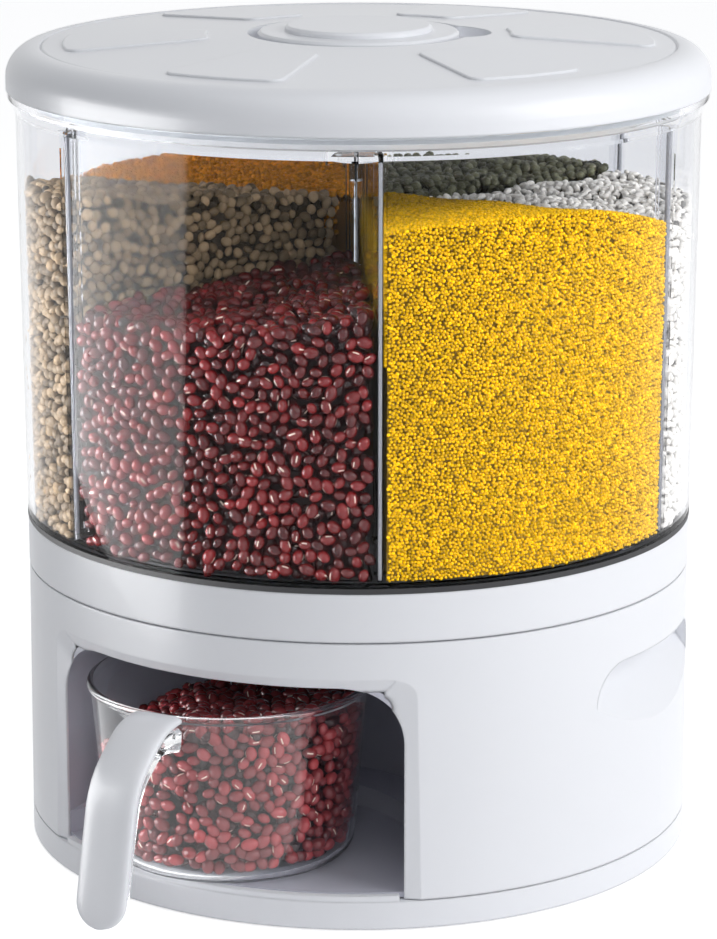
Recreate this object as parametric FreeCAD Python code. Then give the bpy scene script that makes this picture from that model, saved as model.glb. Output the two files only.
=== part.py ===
import FreeCAD
import Part

import math
import os

from FreeCAD import Vector

# Rotating dry food dispenser: a clear drum with six compartments on a turntable, over a base with a
# bay for a measuring cup. Millimetres. +Z is up, the origin is on the turning axis at table height,
# and the bay faces -Y. Every shape is built in its place, with the cup in its bay and the gate shut.

# Heights above the table
tray_foot_z = 1.0
seam_low_z = 11.2
seam_high_z = 11.6
lip_z = 13.4
bay_floor_z = 13.8
bay_ledge_z = 22.0
bay_top_z = 90.0
bay_ceiling_z = 92.0
ledge_low_z = 96.5
deck_z = 99.0
shell_top_z = 106.6
band_low_z = 107.2
band_top_z = 124.8
drum_low_z = 126.8
flare_low_z = 277.0
drum_top_z = 285.0
lid_low_z = 285.2

# Base
base_r_low = 125.7
base_r_top = 125.0
base_wall = 2.4
base_r_inner = base_r_top - base_wall
ledge_r = 117.5
bay_half_angle = 33.4
bay_corner_r = 21.0
bay_bevel_angle = 3.4
bay_bevel_rise = 4.7
bay_bevel_depth = 2.2
bay_back_y = -7.0
seat_r = 57.8
seat_y = -82.6
liner_wall = 2.0
grip_half_width = 43.0
grip_top_z = 87.0
grip_low_z = 57.0
grip_depth = 12.5
boss_r = 4.6
boss_place_r = 119.2
tray_thick = 2.5
spigot_z = 16.0
foot_ring_r = (103.2, 110.8)
foot_groove_depth = 1.2
tray_ring_r = (58.0, 88.0)
tray_ring_wall = 2.0
screw_azimuths = (60.0, 120.0, 180.0, 240.0, 300.0)
screw_r = 1.45
screw_clearance_r = 1.7
base_head_r = 2.8

# Turntable and its bearing
deck_thick = 2.5
post_r = 9.92
post_top_z = 112.2
washer_top_z = 113.4
pivot_head_z = 115.6
bush_r = 10.0
bush_wall = 2.0
hub_wall = 3.5
hub_top_z = 111.9
ball_r = 2.5
ball_count = 8
ball_track_r = 112.0
ball_z = 103.5
cage_low_z = 102.7
cage_top_z = 104.3
turntable_z = 105.8
turntable_thick = 2.5
turntable_r = 121.9
band_r = 125.1
band_wall = 2.5
drive_lug_count = 3

# Outlet: one curved slot in the deck, six in the hopper floor
compartments = 6
pitch = 360.0 / compartments
outlet_r_in = 76.5
outlet_r_out = 87.5
outlet_half_angle = 13.3
outlet_corner = 2.5
spout_z = 103.0
throat_z = 107.5
spout_wall = 1.8

# Gate
gate_travel = 11.0
gate_half_width = 30.0
gate_z = 95.7
gate_thick = 3.2
gate_front_y = -104.0
gate_back_y = -14.0
spring_x = 22.0
spring_r = 1.6
spring_wire = 0.6
spring_z = 96.9
spring_coils = 6
guide_front_y = -106.0
guide_back_y = 10.0
guide_wall = 2.6
paddle_pin_x = 12.0
paddle_pin_y = -28.0
paddle_pin_r = 2.0

# Drum and its compartments
drum_r_low = 125.2
drum_r_top = 126.6
drum_rim_r = 129.4
drum_wall = 2.4
skirt_r = 122.2
skirt_wall = 2.3
skirt_low_z = 108.6
skirt_lip_z = 124.4
rib_gap = 2.2
rib_thick = 1.1
rib_depth = 5.0
fin_thick = 1.7
fin_top_z = 279.0
hub_tube_r = 5.0
hub_tube_top_z = 257.0
hub_cap_r = 10.8
cone_r = 58.0
cone_top_z = 175.0
hopper_top_z = 128.4
hopper_thick = 2.0

# Lid and desiccant cap
lid_r = 130.0
lid_wall = 2.2
lid_round = 11.0
lid_straight_z = 289.4
field_r = 117.0
field_z = 300.2
crown_z = 304.2
recess_r = 40.2
recess_floor_z = 300.0
notch_azimuth = 120.0
lid_plate_z = 286.6
seal_r = 121.4
panel_r_in = 56.0
panel_r_out = 109.0
panel_half_angle = 12.5
panel_corner = 5.0
panel_rise = 0.9
cap_r = 37.2
cap_upper_r = 27.2
cap_step_z = 305.0
cap_top_z = 307.2
neck_r = 29.5

# Cup: stands a little left of the bay's middle, as photographed
cup_x = -9.0
cup_y = -87.5
cup_foot_z = 14.3
cup_rim_z = 79.7
cup_foot_r = 45.7
cup_rim_r = 51.8
cup_wall = 2.0
cup_corner = 7.0
cup_floor = 2.8
handle_width = 18.5
core_width = 12.5

Z = Vector(0, 0, 1)
ORIGIN = Vector(0, 0, 0)


def on_section(r, z):
    """A point of a section that is turned about the axis."""
    return Vector(r, 0, z)


def on_plan(z):
    """Maps plan points to a height."""
    return lambda x, y: Vector(x, y, z)


def on_front(y):
    """Maps points seen from the front to a depth."""
    return lambda x, z: Vector(x, y, z)


def on_side(x):
    """Maps points seen from the side to a distance from the middle."""
    return lambda y, z: Vector(x, y, z)


def rounded_wire(corners, place):
    """Closed outline through (u, v) or (u, v, radius) corners, with an arc at each radius."""
    count = len(corners)
    ends = []
    for i in range(count):
        here = Vector(corners[i][0], corners[i][1], 0)
        before = Vector(corners[i - 1][0], corners[i - 1][1], 0)
        after = Vector(corners[(i + 1) % count][0], corners[(i + 1) % count][1], 0)
        radius = corners[i][2] if len(corners[i]) > 2 else 0.0
        if radius == 0.0:
            ends.append((here, None, here))
            continue
        u = (before - here).normalize()
        v = (after - here).normalize()
        half = u.getAngle(v) / 2
        bisector = (u + v).normalize()
        reach = radius / math.tan(half)
        middle = here + bisector * (radius / math.sin(half) - radius)
        ends.append((here + u * reach, middle, here + v * reach))
    edges = []
    for i in range(count):
        first, middle, last = ends[i]
        if middle is not None:
            points = [place(p.x, p.y) for p in (first, middle, last)]
            edges.append(Part.Arc(*points).toShape())
        next_first = ends[(i + 1) % count][0]
        if (next_first - last).Length > 1e-6:
            a = place(last.x, last.y)
            b = place(next_first.x, next_first.y)
            edges.append(Part.LineSegment(a, b).toShape())
    return Part.Wire(edges)


def turned(corners, angle=360.0):
    """Solid of revolution about the axis, from a rounded section in radius and height."""
    return Part.Face(rounded_wire(corners, on_section)).revolve(ORIGIN, Z, angle)


def prism(corners, place, along):
    """Rounded outline drawn out along a vector."""
    return Part.Face(rounded_wire(corners, place)).extrude(along)


def tube(r_in, r_out, z_low, z_high):
    """Plain ring."""
    return turned([(r_in, z_low), (r_out, z_low), (r_out, z_high), (r_in, z_high)])


def disc(r, z_low, z_high, x=0.0, y=0.0):
    """Plain cylinder on a vertical axis."""
    return Part.makeCylinder(r, z_high - z_low, Vector(x, y, z_low), Z)


def polar(r, azimuth, z=0.0):
    """Point at a radius and an azimuth, which counts from the front (-Y) towards +X."""
    a = math.radians(azimuth)
    return Vector(r * math.sin(a), -r * math.cos(a), z)


def spun(shape, azimuth):
    """Copy of a shape turned about the axis."""
    copy = shape.copy()
    copy.rotate(ORIGIN, Z, azimuth)
    return copy


def ring_of(shape, count, first=0.0):
    """Copies of a shape, evenly spaced about the axis."""
    return [spun(shape, first + i * 360.0 / count) for i in range(count)]


def fused(shapes):
    """One solid from several."""
    return shapes[0].multiFuse(shapes[1:]).removeSplitter()


def keystone(r_in, r_out, half_angle, corner, z_low, z_high):
    """Upright block on a piece of a ring, centred on the front, its corners rounded if corner isn't 0."""
    height = z_high - z_low
    section = [(r_in, z_low), (r_out, z_low), (r_out, z_high), (r_in, z_high)]
    block = spun(turned(section, 2 * half_angle), -90 - half_angle)
    if corner == 0:
        return block
    upright = [e for e in block.Edges if abs(e.BoundBox.ZLength - height) < 1e-3 and len(e.Vertexes) == 2]
    return block.makeFillet(corner, upright)


# Base


def bay_half_width():
    return base_r_low * math.sin(math.radians(bay_half_angle))


def bay_opening(grow, y_front=-140.0, y_back=0.0):
    """Tunnel with the outline of the bay's mouth, larger all round by grow, but not at the floor."""
    half = bay_half_width() + grow
    top = bay_top_z + grow
    low = seam_low_z
    corner = bay_corner_r + grow
    outline = [(-half, low), (half, low), (half, top, corner), (-half, top, corner)]
    return prism(outline, on_front(y_front), Vector(0, y_back - y_front, 0))


def bay_bevel():
    """Slanted border round the bay's mouth, cut into the outside of the wall: flat sides, conical top."""
    r_in = base_r_top - bay_bevel_depth + 0.6
    r_out = base_r_low
    rise = bay_bevel_rise / (r_out - r_in)
    r_near = r_in - 5.0
    r_far = r_out + 4.0
    inner = polar(r_in, bay_half_angle)
    outer = polar(r_out, bay_half_angle + bay_bevel_angle)
    run = outer - inner
    near = inner - run
    far = outer + run * 3
    plan = [(near.x, near.y), (far.x, far.y), (far.x, -150)]
    plan += [(-far.x, -150), (-far.x, far.y), (-near.x, near.y)]
    wedge = prism(plan, on_plan(seam_low_z), Vector(0, 0, 130))
    section = [(r_near, seam_low_z), (r_far, seam_low_z)]
    section += [(r_far, bay_top_z + rise * (r_far - r_in)), (r_near, bay_top_z + rise * (r_near - r_in))]
    tool = wedge.common(turned(section))
    corner_edges = [e for e in tool.Edges if is_bevel_corner(e)]
    return tool.makeFillet(bay_corner_r + 2.5, corner_edges)


def is_bevel_corner(edge):
    """The two slanted edges where the bevel's sides meet its conical top."""
    ends = [(math.hypot(v.X, v.Y), v.Z) for v in edge.Vertexes]
    if len(ends) != 2:
        return False
    return min(z for r, z in ends) > 70 and abs(ends[0][0] - ends[1][0]) > 5.0


def grip_tool(grow):
    """Hand hold on the right: deep under its top edge, running out downwards; grow adds wall round it."""
    x_deep = base_r_top - grip_depth - grow
    top = grip_top_z + grow
    out = base_r_low + 10.0
    depth_run = [(x_deep, top), (out, top), (out, grip_low_z - 12)]
    depth_run += [(base_r_low + 1.5 - grow, grip_low_z - grow), (x_deep, grip_low_z + 22 - grow, 16.0)]
    half = grip_half_width + grow
    hollow = prism(depth_run, lambda x, z: Vector(x, -half, z), Vector(0, 2 * half, 0))
    low = grip_low_z - 20
    face_outline = [(-half, low), (half, low), (half, top, 15.0 + grow), (-half, top, 15.0 + grow)]
    face = prism(face_outline, lambda y, z: Vector(x_deep - 5, y, z), Vector(40, 0, 0))
    return hollow.common(face)


def outline_block(z_low, z_high):
    """The base's tapered outline between two heights, as one block."""
    taper = (base_r_low - base_r_top) / (shell_top_z - tray_foot_z)
    r_at_low = base_r_low - taper * (z_low - tray_foot_z)
    r_at_high = base_r_low - taper * (z_high - tray_foot_z)
    return turned([(0, z_low), (r_at_low, z_low), (r_at_high, z_high), (0, z_high)])


def shell_hollow():
    """Space inside the shell: under the ledge, through it and over it."""
    section = [(0, seam_low_z), (base_r_inner, seam_low_z), (base_r_inner, ledge_low_z - 2.2)]
    section += [(ledge_r, ledge_low_z), (ledge_r, deck_z), (base_r_inner, deck_z)]
    return turned(section + [(base_r_inner, shell_top_z + 1), (0, shell_top_z + 1)])


def make_base_shell():
    """One moulding: tapered wall, ledge for the deck, bevelled bay mouth, hand holds and screw bosses."""
    block = outline_block(seam_high_z, shell_top_z)
    hollow = shell_hollow()
    for azimuth in (0, 180):
        hollow = hollow.cut(spun(grip_tool(base_wall), azimuth))
    shell = block.cut(hollow)
    for azimuth in (0, 180):
        shell = shell.cut(spun(grip_tool(0.0), azimuth))
    bosses = []
    for azimuth in screw_azimuths:
        p = polar(boss_place_r, azimuth)
        bosses.append(disc(boss_r, spigot_z + 0.4, 30.0, p.x, p.y))
        bosses.append(disc(3.2, ledge_low_z - 7, deck_z, p.x, p.y))
    shell = fused([shell] + [boss.common(block) for boss in bosses])
    shell = shell.cut(bay_opening(0.0, y_back=-60.0)).cut(bay_bevel())
    for azimuth in screw_azimuths:
        p = polar(boss_place_r, azimuth)
        shell = shell.cut(disc(1.5, spigot_z, 26.0, p.x, p.y))
        shell = shell.cut(disc(1.25, ledge_low_z - 6, deck_z + 1, p.x, p.y))
    return shell


def seat_plan(grow, z_low, z_high):
    """Round cup seat that opens tangentially to the bay's front corners."""
    r = seat_r + grow
    corner_x = bay_half_width() + grow + 0.3
    corner_y = -102.0
    dx = corner_x
    dy = corner_y - seat_y
    distance = math.hypot(dx, dy)
    touch = math.atan2(dy, dx) + math.acos(r / distance)
    tangent_x = r * math.cos(touch)
    tangent_y = seat_y + r * math.sin(touch)
    flare = [(tangent_x, tangent_y), (corner_x, corner_y), (corner_x, -135), (-corner_x, -135)]
    flare += [(-corner_x, corner_y), (-tangent_x, tangent_y)]
    apron = prism(flare, on_plan(z_low), Vector(0, 0, z_high - z_low))
    return fused([disc(r, z_low, z_high, 0, seat_y), apron])


def bay_plan(grow, z_low, z_high):
    """Plan of the bay above the ledge: straight sides and a round back."""
    half = bay_half_width() + 0.3 + grow
    centre_y = bay_back_y - bay_half_width() - 0.3
    corners = [(-half, -135), (half, -135), (half, centre_y), (-half, centre_y)]
    sides = prism(corners, on_plan(z_low), Vector(0, 0, z_high - z_low))
    return fused([disc(half, z_low, z_high, 0, centre_y), sides])


def bay_space(grow):
    """The bay's hollow, or with grow the outside of its liner."""
    tunnel = bay_opening(0.3 + grow, y_back=10.0)
    upper = bay_plan(grow, bay_ledge_z - grow, bay_ceiling_z + grow).common(tunnel)
    seat = seat_plan(grow, bay_floor_z - grow, bay_ledge_z + 1)
    return fused([upper, seat])


def make_bay_liner():
    """Dark liner with the stepped seat, an outlet hole and a slot for the paddle in its ceiling."""
    liner = bay_space(liner_wall).cut(bay_space(0.0))
    liner = liner.common(disc(base_r_inner - 0.1, 0, ledge_low_z))
    outlet = Part.makeBox(44.8, 19.3, 20, Vector(-22.4, -91.4, 80))
    slot = Part.makeBox(34, 28, 20, Vector(-17, -38, 80))
    return liner.cut(outlet).cut(slot)


def make_bottom_tray():
    """Tray that closes the base: rim, spigot into the shell, lip under the bay's mouth and screw pillars."""
    low = tray_foot_z
    top = low + tray_thick
    groove_in, groove_out = foot_ring_r
    spigot_out = base_r_inner - 0.2
    spigot_in = spigot_out - 2.2
    groove_z = low + foot_groove_depth
    section = [(0, low), (groove_in, low), (groove_in, groove_z), (groove_out, groove_z)]
    section += [(groove_out, low), (base_r_low, low), (base_r_low - 0.06, seam_low_z)]
    section += [(spigot_out, seam_low_z), (spigot_out, spigot_z), (spigot_in, spigot_z)]
    section += [(spigot_in, top), (0, top)]
    mouth = keystone(100, spigot_out + 0.5, 42, 0, seam_low_z, spigot_z + 1)
    lip = keystone(base_r_inner, base_r_low - 0.5, bay_half_angle - 0.2, 0, seam_low_z - 1, lip_z)
    liner_z = bay_floor_z - liner_wall
    parts = [turned(section).cut(mouth), lip]
    parts += [tube(r, r + tray_ring_wall, top, liner_z) for r in tray_ring_r]
    for azimuth in screw_azimuths:
        p = polar(boss_place_r, azimuth)
        pillar = disc(boss_r, top, spigot_z, p.x, p.y)
        parts.append(pillar.common(disc(spigot_out - 0.5, top, spigot_z)))
    tray = fused(parts)
    for azimuth in screw_azimuths:
        p = polar(boss_place_r, azimuth)
        tray = tray.cut(disc(screw_clearance_r, low - 1, spigot_z + 1, p.x, p.y))
        tray = tray.cut(disc(base_head_r + 0.3, low - 1, low + 1.4, p.x, p.y))
    return tray


def make_foot_ring():
    """Rubber ring in the tray's groove."""
    return tube(foot_ring_r[0], foot_ring_r[1], 0, tray_foot_z + foot_groove_depth)


def make_base_screws():
    """Pan-head screws up through the tray into the shell."""
    screws = []
    for azimuth in screw_azimuths:
        p = polar(boss_place_r, azimuth)
        head = disc(base_head_r, tray_foot_z + 0.1, tray_foot_z + 1.4, p.x, p.y)
        shank = disc(screw_r, tray_foot_z + 1.4, 25.0, p.x, p.y)
        screws.append(fused([head, shank]))
    return Part.makeCompound(screws)


# Turntable


def make_turntable_deck():
    """Fixed deck: pivot post, ball track, curved outlet slot and ribs below."""
    top = deck_z + deck_thick
    r = base_r_inner - 0.4
    shoulder_r = 16.0
    shoulder_z = top + 0.6
    section = [(0, deck_z), (r, deck_z), (r, top), (shoulder_r, top), (shoulder_r, shoulder_z)]
    deck = turned(section + [(post_r, shoulder_z), (post_r, post_top_z), (0, post_top_z)])
    rib = Part.makeBox(2.0, 75.0, 3.6, Vector(-1.0, 39.0, deck_z - 3.6))
    deck = fused([deck] + [spun(rib, a) for a in (-115, -75, -38, 38, 75, 115)])
    slot = keystone(outlet_r_in, outlet_r_out, outlet_half_angle, outlet_corner, deck_z - 1, top + 1)
    deck = deck.cut(tube(ball_track_r - 1.6, ball_track_r + 1.6, ball_z - ball_r, top + 1)).cut(slot)
    deck = deck.cut(disc(1.5, deck_z - 1, post_top_z + 1))
    for azimuth in screw_azimuths:
        p = polar(boss_place_r, azimuth)
        deck = deck.cut(disc(screw_clearance_r, deck_z - 1, top + 1, p.x, p.y))
    return deck


def make_deck_screws():
    """Flat-head screws that hold the deck on the shell's ledge."""
    top = deck_z + deck_thick
    screws = []
    for azimuth in screw_azimuths:
        p = polar(boss_place_r, azimuth)
        head = disc(2.7, top, top + 1.8, p.x, p.y)
        shank = disc(1.2, ledge_low_z - 5, top, p.x, p.y)
        screws.append(fused([head, shank]))
    return Part.makeCompound(screws)


def make_retaining_washer():
    """Washer on the post, over the turntable's hub."""
    return tube(1.6, 15.0, post_top_z, washer_top_z)


def make_pivot_screw():
    """Screw down the middle of the post, with a cross in its head."""
    cross = Part.makeBox(4.4, 0.9, 1.2, Vector(-2.2, -0.45, pivot_head_z - 1.0))
    head = disc(4.2, washer_top_z, pivot_head_z).cut(cross).cut(spun(cross, 90))
    return fused([head, disc(screw_r, deck_z - 0.5, washer_top_z)])


def make_ball_cage():
    """Flat ring that keeps the balls apart."""
    cage = tube(ball_track_r - 4.2, ball_track_r + 4.2, cage_low_z, cage_top_z)
    pocket = disc(ball_r + 0.12, cage_low_z - 1, cage_top_z + 1, 0, -ball_track_r)
    for hole in ring_of(pocket, ball_count):
        cage = cage.cut(hole)
    return cage


def make_bearing_balls():
    """Steel balls in the cage."""
    ball = Part.makeSphere(ball_r, Vector(0, -ball_track_r, ball_z))
    return Part.makeCompound(ring_of(ball, ball_count))


def make_turntable():
    """White band and floor that carry the drum, with six windows for the spouts and three drive lugs."""
    top = turntable_z + turntable_thick
    hub_r = bush_r + bush_wall
    hub_out = hub_r + hub_wall
    band_in = band_r - band_wall
    profile = [(hub_r, 102.6), (hub_out, 102.6), (hub_out, turntable_z), (turntable_r, turntable_z)]
    profile += [(turntable_r, band_low_z), (band_r, band_low_z), (band_r, band_top_z), (band_in, band_top_z)]
    profile += [(band_in, top), (hub_out, top), (hub_out, hub_top_z - 0.3), (hub_r, hub_top_z - 0.3)]
    lug_in = band_in - 3.2
    lug_out = band_r - 1
    lug = turned([(lug_in, top - 0.5), (lug_out, top - 0.5), (lug_out, 116.0), (lug_in, 116.0)], 6.0)
    table = fused([turned(profile)] + ring_of(spun(lug, -3.0), drive_lug_count, 90.0))
    table = table.cut(tube(ball_track_r - 1.1, ball_track_r + 1.1, 100, ball_z + ball_r))
    window = keystone(68.0, 97.0, 20.5, 4.0, turntable_z - 1, top + 1)
    for hole in ring_of(window, compartments):
        table = table.cut(hole)
    return table


def make_pivot_bush():
    """Sleeve in the turntable's hub, running on the post."""
    return tube(bush_r, bush_r + bush_wall, 102.2, hub_top_z)


# Gate


def spring_pins(y):
    """Two short pins along Y that hold the ends of the springs."""
    along = Vector(0, 1, 0)
    return [Part.makeCylinder(1.1, 6, Vector(x, y, spring_z), along) for x in (-spring_x, spring_x)]


def make_gate_guide():
    """Channel under the deck: two lipped rails and a back wall with spring pins."""
    low = bay_ceiling_z + liner_wall
    lip = gate_z - 0.05
    x_in = gate_half_width + 0.4
    x_out = x_in + guide_wall
    x_lip = gate_half_width - 2.5
    length = guide_back_y + guide_wall - guide_front_y
    rails = []
    for side in (-1, 1):
        web = [(x_in, deck_z), (x_out, deck_z), (x_out, low), (x_lip, low), (x_lip, lip), (x_in, lip)]
        outline = [(side * x, z) for x, z in web]
        rails.append(prism(outline, on_front(guide_front_y), Vector(0, length, 0)))
    wall = Part.makeBox(2 * x_in, guide_wall, deck_z - low, Vector(-x_in, guide_back_y, low))
    return fused(rails + [wall] + spring_pins(guide_back_y - 5))


def make_outlet_chute():
    """Spout that drops grain through the bay's ceiling into the cup."""
    ceiling = bay_ceiling_z + liner_wall
    mouth = (-20.5, 20.5, -89.5, -74.0)
    tip = (-18.5, 18.5, -88.5, -75.0)

    def outline(box, grow, z):
        x_low, x_high, y_low, y_high = box
        corners = [(x_low - grow, y_low - grow), (x_high + grow, y_low - grow)]
        corners += [(x_high + grow, y_high + grow), (x_low - grow, y_high + grow)]
        return rounded_wire(corners, on_plan(z))

    flange = Part.Face(outline(mouth, 5.5, ceiling)).extrude(Vector(0, 0, 1.2))
    spout = Part.makeLoft([outline(tip, 1.6, 84.0), outline(mouth, 1.6, ceiling + 0.6)], True, True)
    bore = Part.makeLoft([outline(tip, 0, 83.9), outline(mouth, 0, ceiling + 1.3)], True, True)
    return fused([flange, spout]).cut(bore)


def make_gate_plate():
    """Sliding shutter with a window that meets the outlet slot when pushed."""
    outline = [(-gate_half_width, gate_front_y, 3), (gate_half_width, gate_front_y, 3)]
    outline += [(gate_half_width, gate_back_y), (-gate_half_width, gate_back_y)]
    plate = prism(outline, on_plan(gate_z), Vector(0, 0, gate_thick))
    back = -outlet_r_out - 1.0
    front = back - gate_travel
    window = [(-21, front, 2), (21, front, 2), (21, back, 2), (-21, back, 2)]
    plate = plate.cut(prism(window, on_plan(gate_z - 1), Vector(0, 0, gate_thick + 2)))
    for x in (-paddle_pin_x, paddle_pin_x):
        plate = plate.cut(disc(paddle_pin_r + 0.05, gate_z - 1, gate_z + gate_thick + 1, x, paddle_pin_y))
    return fused([plate] + spring_pins(gate_back_y - 1))


def make_push_paddle():
    """Paddle behind the cup's rim, with a flange and two pins in the gate."""
    low = bay_ceiling_z + liner_wall + 0.3
    flange = Part.makeBox(38, 16, gate_z - low, Vector(-19, -36, low))
    blade_outline = [(-15, 60, 6), (15, 60, 6), (15, low + 0.4), (-15, low + 0.4)]
    blade = prism(blade_outline, on_front(-35.4), Vector(0, 2.6, 0))
    gusset = [(-33.0, low + 0.4), (-33.0, 68), (-25.0, low - 6), (-22.5, low + 0.4)]
    gussets = [prism(gusset, on_side(x), Vector(1.8, 0, 0)) for x in (-9.9, 8.1)]
    pins = []
    for x in (-paddle_pin_x, paddle_pin_x):
        pins.append(disc(paddle_pin_r, gate_z - 0.2, gate_z + gate_thick, x, paddle_pin_y))
    return fused([flange, blade] + gussets + pins)


def spring_coil(x):
    """Open coil of square wire along Y, in short straight runs, from the gate to the guide's back wall."""
    runs = 12
    y_first = gate_back_y + spring_wire / 2 + 0.05
    y_last = guide_back_y - spring_wire / 2 - 0.05
    points = []
    for i in range(spring_coils * runs + 1):
        a = 2 * math.pi * i / runs
        y = y_first + (y_last - y_first) * i / (spring_coils * runs)
        points.append(Vector(x + spring_r * math.cos(a), y, spring_z + spring_r * math.sin(a)))
    path = Part.makePolygon(points)
    half = spring_wire / 2
    start = points[0]
    corners = [(-half, -half), (half, -half), (half, half), (-half, half), (-half, -half)]
    section = Part.makePolygon([Vector(start.x + u, start.y + v, start.z) for u, v in corners])
    return path.makePipeShell([section], True, False, 1)


def make_gate_springs():
    """Two springs that push the gate shut."""
    return Part.makeCompound([spring_coil(-spring_x), spring_coil(spring_x)])


# Drum


def drum_inner_r(z):
    """Inside radius of the drum's wall."""
    share = (z - drum_low_z) / (flare_low_z - drum_low_z)
    return drum_r_low + (drum_r_top - drum_r_low) * share - drum_wall


def make_clear_drum():
    """Clear wall with a flared rim, a lipped skirt that drops into the band, and paired ribs."""
    inner_skirt = skirt_r - skirt_wall
    lip = skirt_lip_z
    outside = [(inner_skirt, skirt_low_z), (skirt_r, skirt_low_z), (skirt_r, drum_low_z)]
    outside.append((drum_r_low, drum_low_z))
    outside += [(drum_r_top, flare_low_z), (drum_rim_r, 282.5), (drum_rim_r, drum_top_z)]
    inside = [(drum_rim_r - 2.6, drum_top_z)]
    inside.append((drum_inner_r(flare_low_z) + 0.2, flare_low_z + 1.5))
    inside += [(drum_inner_r(hopper_top_z), hopper_top_z), (inner_skirt, hopper_top_z), (inner_skirt, lip)]
    inside += [(inner_skirt - 1.9, lip), (inner_skirt - 1.9, lip - 1.6), (inner_skirt, lip - 3.5)]
    drum = turned(outside + inside)
    rib_low = hopper_top_z + 3.0
    r_low = drum_inner_r(rib_low)
    r_high = drum_inner_r(fin_top_z)
    rib = [(r_low + 0.6, rib_low), (r_high + 0.6, fin_top_z)]
    rib += [(r_high - rib_depth, fin_top_z), (r_low - rib_depth, rib_low)]
    ribs = []
    for side in (-1, 1):
        plate = prism(rib, on_section, Vector(0, rib_thick, 0))
        plate.translate(Vector(0, side * (rib_gap + rib_thick) / 2 - rib_thick / 2, 0))
        ribs += ring_of(plate, compartments, pitch / 2 - 90)
    drum = fused([drum] + ribs)
    notch = turned([(117, skirt_low_z - 1), (123, skirt_low_z - 1), (123, 116.4), (117, 116.4)], 7.0)
    for cut in ring_of(spun(notch, -3.5), drive_lug_count, 90.0):
        drum = drum.cut(cut)
    return drum


def funnel(grow):
    """Funnel of the front compartment: conical walls in front and behind, flat slanted sides."""
    z_high = hopper_top_z + 1.0
    z_low = throat_z
    r_edge = skirt_r - skirt_wall
    mouth_in, mouth_out = cone_r + 2.0, r_edge - 1.6
    fall = hopper_top_z - z_low
    slope_in = (outlet_r_in - mouth_in) / fall
    slope_out = (mouth_out - outlet_r_out) / fall
    section = [(mouth_in - slope_in - grow, z_high), (mouth_out + slope_out + grow, z_high)]
    section += [(outlet_r_out + grow, z_low), (outlet_r_in - grow, z_low)]
    space = spun(turned(section, pitch), -90 - pitch / 2)
    mouth_side = fin_thick / 2 + 1.35
    throat_side = outlet_r_in * math.sin(math.radians(pitch / 2 - outlet_half_angle))
    slope_side = (throat_side - mouth_side) / fall
    across = [(mouth_side - slope_side - grow, z_high), (throat_side - grow, z_low)]
    across += [(200, z_low), (200, z_high)]
    for side in (-1, 1):
        half_space = prism([(side * n, z) for n, z in across], on_front(-150), Vector(0, 160, 0))
        space = space.common(spun(half_space, -side * pitch / 2))
    return space


def make_hopper_floor():
    """Six funnels round a centre cone, each ending in a curved spout, with webs that carry the fins."""
    r_edge = skirt_r - skirt_wall - 0.05
    low = hopper_top_z - hopper_thick
    collar_in = hub_tube_r + 0.05
    collar_out = collar_in + 2
    collar_z = 163.0
    slope = (cone_top_z - hopper_top_z) / (cone_r - collar_out)
    under_r = cone_r - 3.2
    section = [(collar_in, collar_z), (collar_in, cone_top_z), (collar_out, cone_top_z)]
    section += [(cone_r, hopper_top_z), (r_edge, hopper_top_z), (r_edge, skirt_lip_z)]
    section += [(r_edge - 1.6, skirt_lip_z), (r_edge - 1.6, low), (under_r, low)]
    section += [(collar_out, low + slope * (under_r - collar_out)), (collar_out, collar_z)]
    r_in = outlet_r_in - spout_wall
    r_out = outlet_r_out + spout_wall
    spout_half = outlet_half_angle + math.degrees(spout_wall / outlet_r_in)
    spout = keystone(r_in, r_out, spout_half, outlet_corner + spout_wall, spout_z, throat_z + 1)
    bore = keystone(outlet_r_in, outlet_r_out, outlet_half_angle, outlet_corner, spout_z - 1, throat_z + 2)
    outside = funnel(spout_wall).common(disc(r_edge, 0, hopper_top_z - 0.5))
    floor = fused([turned(section)] + ring_of(outside, compartments) + ring_of(spout, compartments))
    for hollow in ring_of(funnel(0.0), compartments) + ring_of(bore, compartments):
        floor = floor.cut(hollow)
    return floor


def make_outlet_wipers():
    """Rubber lips round the six spouts, just over the deck."""
    r_in = outlet_r_in - spout_wall
    r_out = outlet_r_out + spout_wall
    half = outlet_half_angle + math.degrees(spout_wall / outlet_r_in)
    outer = keystone(r_in - 1.6, r_out + 1.6, half + 1.2, outlet_corner + spout_wall + 1.6, 101.8, 106.4)
    hole = keystone(r_in, r_out, half, outlet_corner + spout_wall, 101.0, 107.0)
    return Part.makeCompound(ring_of(outer.cut(hole), compartments))


def make_divider_insert():
    """Six fins on a hub tube. Their lower edges follow the cone and the webs between the funnels."""
    low = hopper_top_z
    step_r = hub_cap_r + 3.5
    foot_z = cone_top_z + 0.5
    step_z = hub_tube_top_z - 1.0
    r_in = hub_tube_r - 1.0
    edge = [(r_in, foot_z), (hub_tube_r + 2.4, foot_z), (cone_r + 0.4, low)]
    edge += [(drum_inner_r(low) - 0.7, low), (drum_inner_r(fin_top_z) - 0.7, fin_top_z, 3.0)]
    edge += [(step_r, fin_top_z, 3.0), (step_r, step_z), (r_in, step_z)]
    fin = prism(edge, on_section, Vector(0, fin_thick, 0))
    fin.translate(Vector(0, -fin_thick / 2, 0))
    hub_foot_z = 165.0
    hub = tube(hub_tube_r - 1.8, hub_tube_r, hub_foot_z, hub_tube_top_z)
    bore = disc(hub_tube_r - 1.8, hub_foot_z - 1, hub_tube_top_z + 1)
    return fused([hub] + ring_of(fin, compartments, pitch / 2 - 90)).cut(bore)


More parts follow.
